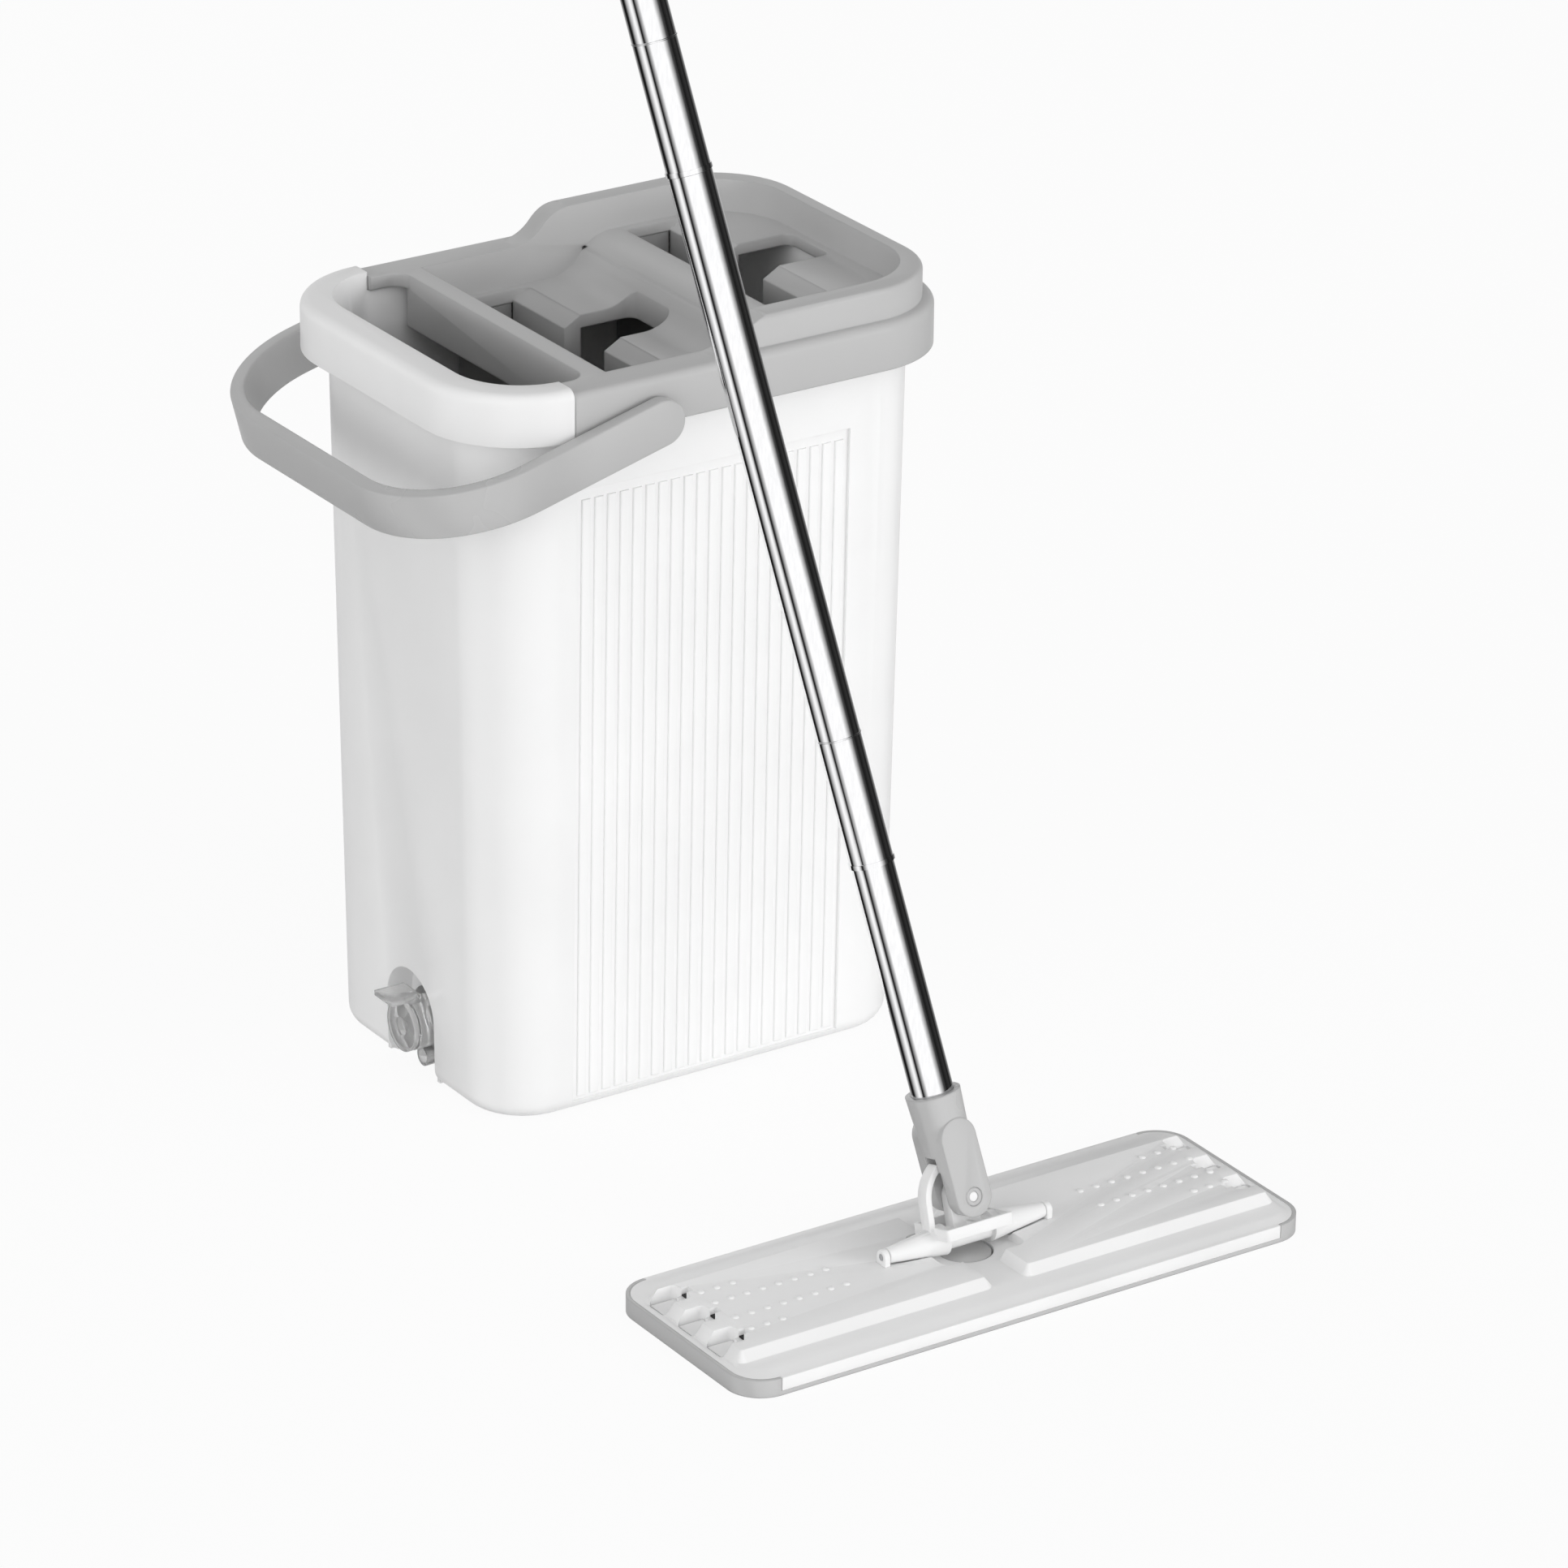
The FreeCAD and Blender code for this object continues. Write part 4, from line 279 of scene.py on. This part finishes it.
def ribTree(sizes):
    tree = newTree("panel_ribs", sizes)
    given = addNode(tree, "NodeGroupInput").outputs
    line = addNode(tree, "GeometryNodeCurvePrimitiveLine", None, {"Start": given["Start"],
                                                                  "End": given["End"]})
    outline = addNode(tree, "GeometryNodeCurvePrimitiveQuadrilateral", None,
                      {"Width": given["Width"], "Height": given["Rise"]})
    rounded = addNode(tree, "GeometryNodeFilletCurve", {"Count": 4},
                      {"Curve": outline.outputs["Curve"], "Radius": given["Corner"]}, mode="POLY")
    bar = addNode(tree, "GeometryNodeCurveToMesh", {"Fill Caps": True},
                  {"Curve": line.outputs["Curve"], "Profile Curve": rounded.outputs["Curve"]})
    step = addNode(tree, "ShaderNodeCombineXYZ", None, {"X": given["Pitch"]})
    row = addNode(tree, "GeometryNodeMeshLine", None, {"Count": given["Count"],
                                                       "Offset": step.outputs["Vector"]})
    copies = addNode(tree, "GeometryNodeInstanceOnPoints", None,
                     {"Points": row.outputs["Mesh"], "Instance": bar.outputs["Mesh"]})
    closeTree(tree, copies.outputs["Instances"], "white_plastic")
    return tree


# the panel's floor leans out with the bucket's draft, from 8 mm above the floor to 307 mm
panel = {"draft": 0.9, "face": 80.0 - 1.5, "middle": -1.5, "low": 8.0, "high": 307.0, "shift": -3.0}
ribSizes = dict(ribs)
ribFirst = panel["middle"] * mm - (ribs["Count"] - 1) / 2 * ribs["Pitch"]
for end, height in (("Start", panel["low"]), ("End", panel["high"])):
    out = panel["face"] + math.tan(math.radians(panel["draft"])) * height
    ribSizes[end] = Vector((ribFirst, -out * mm, height * mm))
ribModel = ribTree(ribSizes)
grow("panel_ribs_front", ribModel, ribSizes, "bucket")
ribTurn = Matrix.Translation((panel["shift"] * mm, 0, 0)) @ Matrix.Rotation(math.pi, 4, "Z")
grow("panel_ribs_back", ribModel, ribSizes, "bucket", ribTurn)
print("ribs grown")

# rows of small raised dots on both wings of the mop plate
dots = {"Radius": 1.75 * mm, "Flat": 0.5}


def dotTree(sizes):
    tree = newTree("plate_dots", sizes)
    given = addNode(tree, "NodeGroupInput").outputs
    row = addNode(tree, "GeometryNodeMeshLine", None,
                  {"Count": given["Count"], "Start Location": given["Start"], "Offset": given["Step"]})
    bead = addNode(tree, "GeometryNodeMeshUVSphere", {"Segments": 14, "Rings": 8},
                   {"Radius": given["Radius"]})
    shape = addNode(tree, "ShaderNodeCombineXYZ", {"X": 1.0, "Y": 1.0}, {"Z": given["Flat"]})
    copies = addNode(tree, "GeometryNodeInstanceOnPoints", None,
                     {"Points": row.outputs["Mesh"], "Instance": bead.outputs["Mesh"],
                      "Scale": shape.outputs["Vector"]})
    closeTree(tree, copies.outputs["Instances"], "plate_plastic")
    return tree


dotModel = dotTree(dict(dots, Count=8, Start=Vector((0, 0, 0)), Step=Vector((1, 0, 0))))
# middle of the plate at the top of its wings, in mm
plateMiddle = Vector((-10.5, -305.5, 14.4))
# each row's name, number of dots, and place across the left and the right wing
rowPlan = (("outer_front", 3, -19.0, -16.0), ("inner_front", 8, -6.8, -4.4),
           ("inner_back", 8, 9.6, 11.6), ("outer_back", 3, 21.0, 24.0))
for side, along, step in (("left", -126.7, 8.35), ("right", 132.2, -8.7)):
    for name, count, acrossLeft, acrossRight in rowPlan:
        across = acrossLeft if side == "left" else acrossRight
        sizes = dict(dots, Count=count, Step=Vector((step * mm, 0, 0)),
                     Start=Vector((plateMiddle.x + along, plateMiddle.y + across, plateMiddle.z)) * mm)
        grow("plate_dots_%s_%s" % (side, name), dotModel, sizes, "mop_head")
print("dots grown")

# dark blocks sunk at the roots of the notches at both ends of the plate: painted shade in the cloth
# clips' recesses
notchShade = {"Count": 3, "Pitch": 23.0 * mm, "Length": 2.9 * mm, "Width": 3.8 * mm, "Rise": 0.8 * mm}
notchShadePlace = {"along": 130.35, "across": 3.5 - 23.0, "height": 11.1}


def notchShadeTree(sizes):
    tree = newTree("clip_notch_shade", sizes)
    given = addNode(tree, "NodeGroupInput").outputs
    extent = addNode(tree, "ShaderNodeCombineXYZ", None, {"X": given["Length"], "Y": given["Width"],
                                                          "Z": given["Rise"]})
    block = addNode(tree, "GeometryNodeMeshCube", None, {"Size": extent.outputs["Vector"]})
    step = addNode(tree, "ShaderNodeCombineXYZ", None, {"Y": given["Pitch"]})
    row = addNode(tree, "GeometryNodeMeshLine", None,
                  {"Count": given["Count"], "Start Location": given["Start"],
                   "Offset": step.outputs["Vector"]})
    copies = addNode(tree, "GeometryNodeInstanceOnPoints", None,
                     {"Points": row.outputs["Mesh"], "Instance": block.outputs["Mesh"]})
    closeTree(tree, copies.outputs["Instances"], "dark_rubber")
    return tree


notchShadeModel = notchShadeTree(dict(notchShade, Start=Vector((0, 0, 0))))
for side, sign in (("left", -1), ("right", 1)):
    start = Vector((plateMiddle.x + sign * notchShadePlace["along"], plateMiddle.y + notchShadePlace["across"],
                    notchShadePlace["height"])) * mm
    grow("clip_notch_shade_" + side, notchShadeModel, dict(notchShade, Start=start), "mop_head")
print("clip notch shade grown")

# rolled rings pressed into the tubes, one above each joint
rings = {"Count": 3, "Spacing": 318.0 * mm, "First": 217.0 * mm, "Radius": 9.85 * mm, "Bead": 0.45 * mm}


def ringTree(sizes):
    tree = newTree("tube_rings", sizes)
    given = addNode(tree, "NodeGroupInput").outputs
    loop = addNode(tree, "GeometryNodeCurvePrimitiveCircle", {"Resolution": 64},
                   {"Radius": given["Radius"]})
    bead = addNode(tree, "GeometryNodeCurvePrimitiveCircle", {"Resolution": 10},
                   {"Radius": given["Bead"]})
    ring = addNode(tree, "GeometryNodeCurveToMesh", None,
                   {"Curve": loop.outputs["Curve"], "Profile Curve": bead.outputs["Curve"]})
    start = addNode(tree, "ShaderNodeCombineXYZ", None, {"Z": given["First"]})
    step = addNode(tree, "ShaderNodeCombineXYZ", None, {"Z": given["Spacing"]})
    row = addNode(tree, "GeometryNodeMeshLine", None,
                  {"Count": given["Count"], "Start Location": start.outputs["Vector"],
                   "Offset": step.outputs["Vector"]})
    copies = addNode(tree, "GeometryNodeInstanceOnPoints", None,
                     {"Points": row.outputs["Mesh"], "Instance": ring.outputs["Mesh"]})
    closeTree(tree, copies.outputs["Instances"], "polished_tube")
    return tree


grow("tube_rings", ringTree(rings), rings, "pole", poleFrame)
print("rings grown")

# floor, camera and light
camera = {"target": Vector((94.5, 0.0, 97.1)) * mm, "azimuth": -33.81, "elevation": 23.9,
          "roll": 0.61, "distance": 3750.3 * mm, "lens": 180.3}


def placeCamera():
    azimuth, elevation, roll = (math.radians(camera[k]) for k in ("azimuth", "elevation", "roll"))
    back = Vector((math.sin(azimuth) * math.cos(elevation), -math.cos(azimuth) * math.cos(elevation),
                   math.sin(elevation)))
    right = Vector((math.cos(azimuth), math.sin(azimuth), 0.0))
    up = back.cross(right)
    across = right * math.cos(roll) + up * math.sin(roll)
    data = bpy.data.cameras.new("camera")
    data.lens = camera["lens"]
    data.sensor_width = 36.0
    data.clip_end = 200.0
    viewer = bpy.data.objects.new("camera", data)
    bpy.context.scene.collection.objects.link(viewer)
    turn = Matrix((across, back.cross(across), back)).transposed().to_4x4()
    viewer.matrix_world = Matrix.Translation(camera["target"] + back * camera["distance"]) @ turn
    bpy.context.scene.camera = viewer


placeCamera()


# the floor as the camera sees it is mostly even white, so that only faint shadows stay on it
studioFloor = {"half": 40.0, "paint": "#eeeeee", "evenWhite": 0.92}


def layFloor():
    mesh = bpy.data.meshes.new("floor")
    half = studioFloor["half"]
    mesh.from_pydata([(-half, -half, 0), (half, -half, 0), (half, half, 0), (-half, half, 0)], [],
                     [(0, 1, 2, 3)])
    floor = bpy.data.objects.new("floor", mesh)
    bpy.context.scene.collection.objects.link(floor)
    material = bpy.data.materials.new("pale studio floor")
    material.use_nodes = True
    tree = material.node_tree
    tree.nodes.clear()
    path = addNode(tree, "ShaderNodeLightPath").outputs
    paint = addNode(tree, "ShaderNodeBsdfDiffuse", {"Color": linearColour(studioFloor["paint"])})
    glow = addNode(tree, "ShaderNodeEmission", {"Color": linearColour("#ffffff"), "Strength": 1.0})
    lit = addNode(tree, "ShaderNodeMixShader", {"Fac": studioFloor["evenWhite"]})
    tree.links.new(paint.outputs["BSDF"], lit.inputs[1])
    tree.links.new(glow.outputs["Emission"], lit.inputs[2])
    seen = addNode(tree, "ShaderNodeMixShader", None, {"Fac": path["Is Camera Ray"]})
    tree.links.new(paint.outputs["BSDF"], seen.inputs[1])
    tree.links.new(lit.outputs["Shader"], seen.inputs[2])
    clear = addNode(tree, "ShaderNodeBsdfTransparent")
    final = addNode(tree, "ShaderNodeMixShader", None, {"Fac": path["Is Glossy Ray"]})
    tree.links.new(seen.outputs["Shader"], final.inputs[1])
    tree.links.new(clear.outputs["BSDF"], final.inputs[2])
    addNode(tree, "ShaderNodeOutputMaterial", None, {"Surface": final.outputs["Shader"]})
    mesh.materials.append(material)


layFloor()

# tall soft panels with dark gaps between them stand round the pole, and show only in reflections:
# degrees round the pole from the viewer, and how bright
panels = [(-180, 0.8), (-150, 0.3), (-128, 0.0), (-112, 0.02), (-76, 1.0), (-66, 0.75), (-55, 0.0),
          (-49, 0.03), (-34, 0.55), (-26, 1.0), (38, 1.0), (52, 0.5), (68, 0.06), (84, 0.01),
          (108, 0.03), (125, 0.01), (150, 0.2), (180, 0.8)]
# the room's own light: which way it is strongest, and its levels away from there and there
room = {"toward": (-0.33, -0.88, -0.33), "dim": 0.2, "bright": 1.25, "reflected": 1.15}


def lightRoom():
    world = bpy.data.worlds.new("studio")
    world.use_nodes = True
    bpy.context.scene.world = world
    tree = world.node_tree
    tree.nodes.clear()
    look = addNode(tree, "ShaderNodeTexCoord").outputs["Generated"]
    viewer = Vector((math.sin(math.radians(camera["azimuth"])),
                     -math.cos(math.radians(camera["azimuth"])), 0.4))
    front = poleTurn.inverted().to_3x3() @ viewer
    turned = addNode(tree, "ShaderNodeVectorRotate", {"Rotation": poleEuler}, {"Vector": look},
                     rotation_type="EULER_XYZ")
    apart = addNode(tree, "ShaderNodeSeparateXYZ", None, {"Vector": turned.outputs["Vector"]})
    angle = addNode(tree, "ShaderNodeMath", None, None, operation="ARCTAN2")
    tree.links.new(apart.outputs["Y"], angle.inputs[0])
    tree.links.new(apart.outputs["X"], angle.inputs[1])
    # turns counted from the viewer, wrapped to 0..1 with the viewer at the middle
    turns = addNode(tree, "ShaderNodeMath", {1: 1 / (2 * math.pi)}, {0: angle.outputs["Value"]},
                    operation="MULTIPLY")
    offset = addNode(tree, "ShaderNodeMath", {1: 0.5 - math.atan2(front.y, front.x) / (2 * math.pi)},
                     {0: turns.outputs["Value"]}, operation="ADD")
    wrapped = addNode(tree, "ShaderNodeMath", {1: 1.0, 2: 0.0}, {0: offset.outputs["Value"]},
                      operation="WRAP")
    ramp = addNode(tree, "ShaderNodeValToRGB", None, {"Fac": wrapped.outputs["Value"]})
    stops = ramp.color_ramp.elements
    while len(stops) > 1:
        stops.remove(stops[-1])
    for number, (degrees, level) in enumerate(panels):
        place = (degrees + 180) / 360
        stop = stops[0] if number == 0 else stops.new(place)
        stop.position = place
        stop.color = (level, level, level, 1.0)
    shine = addNode(tree, "ShaderNodeBackground", {"Strength": room["reflected"]},
                    {"Color": ramp.outputs["Color"]})
    lean = addNode(tree, "ShaderNodeVectorMath", {1: room["toward"]}, {0: look},
                   operation="DOT_PRODUCT")
    level = addNode(tree, "ShaderNodeMapRange", {"From Min": -1.0, "From Max": 1.0,
                                                 "To Min": room["dim"], "To Max": room["bright"]},
                    {"Value": lean.outputs["Value"]})
    walls = addNode(tree, "ShaderNodeBackground", {"Color": (1.0, 1.0, 1.0, 1.0)},
                    {"Strength": level.outputs["Result"]})
    path = addNode(tree, "ShaderNodeLightPath").outputs
    mixed = addNode(tree, "ShaderNodeMixShader", None, {"Fac": path["Is Glossy Ray"]})
    tree.links.new(walls.outputs["Background"], mixed.inputs[1])
    tree.links.new(shine.outputs["Background"], mixed.inputs[2])
    addNode(tree, "ShaderNodeOutputWorld", None, {"Surface": mixed.outputs["Shader"]})


lightRoom()


# soft lamps round the set, all aimed low at the bucket: place and width in metres, power in watts.
# They stay out of reflections, which come from the panels
softboxes = {
    "softbox_front": {"place": (2.0, -3.6, 0.55), "width": 1.8, "power": 70.0},
    "softbox_side": {"place": (-3.2, -0.6, 0.6), "width": 1.6, "power": 17.0},
    "softbox_back": {"place": (-0.6, 4.0, 0.8), "width": 1.8, "power": 30.0},
}
aim = Vector((0.0, 0.0, 0.2))


def addSoftbox(name, place, width, power):
    data = bpy.data.lights.new(name, "AREA")
    data.shape = "SQUARE"
    data.size = width
    data.energy = power
    lamp = bpy.data.objects.new(name, data)
    bpy.context.scene.collection.objects.link(lamp)
    lamp.location = place
    lamp.rotation_euler = (aim - Vector(place)).to_track_quat("-Z", "Y").to_euler()
    lamp.visible_glossy = False


for name, setting in softboxes.items():
    addSoftbox(name, **setting)
bpy.context.scene.view_settings.view_transform = "Standard"
print("studio set")
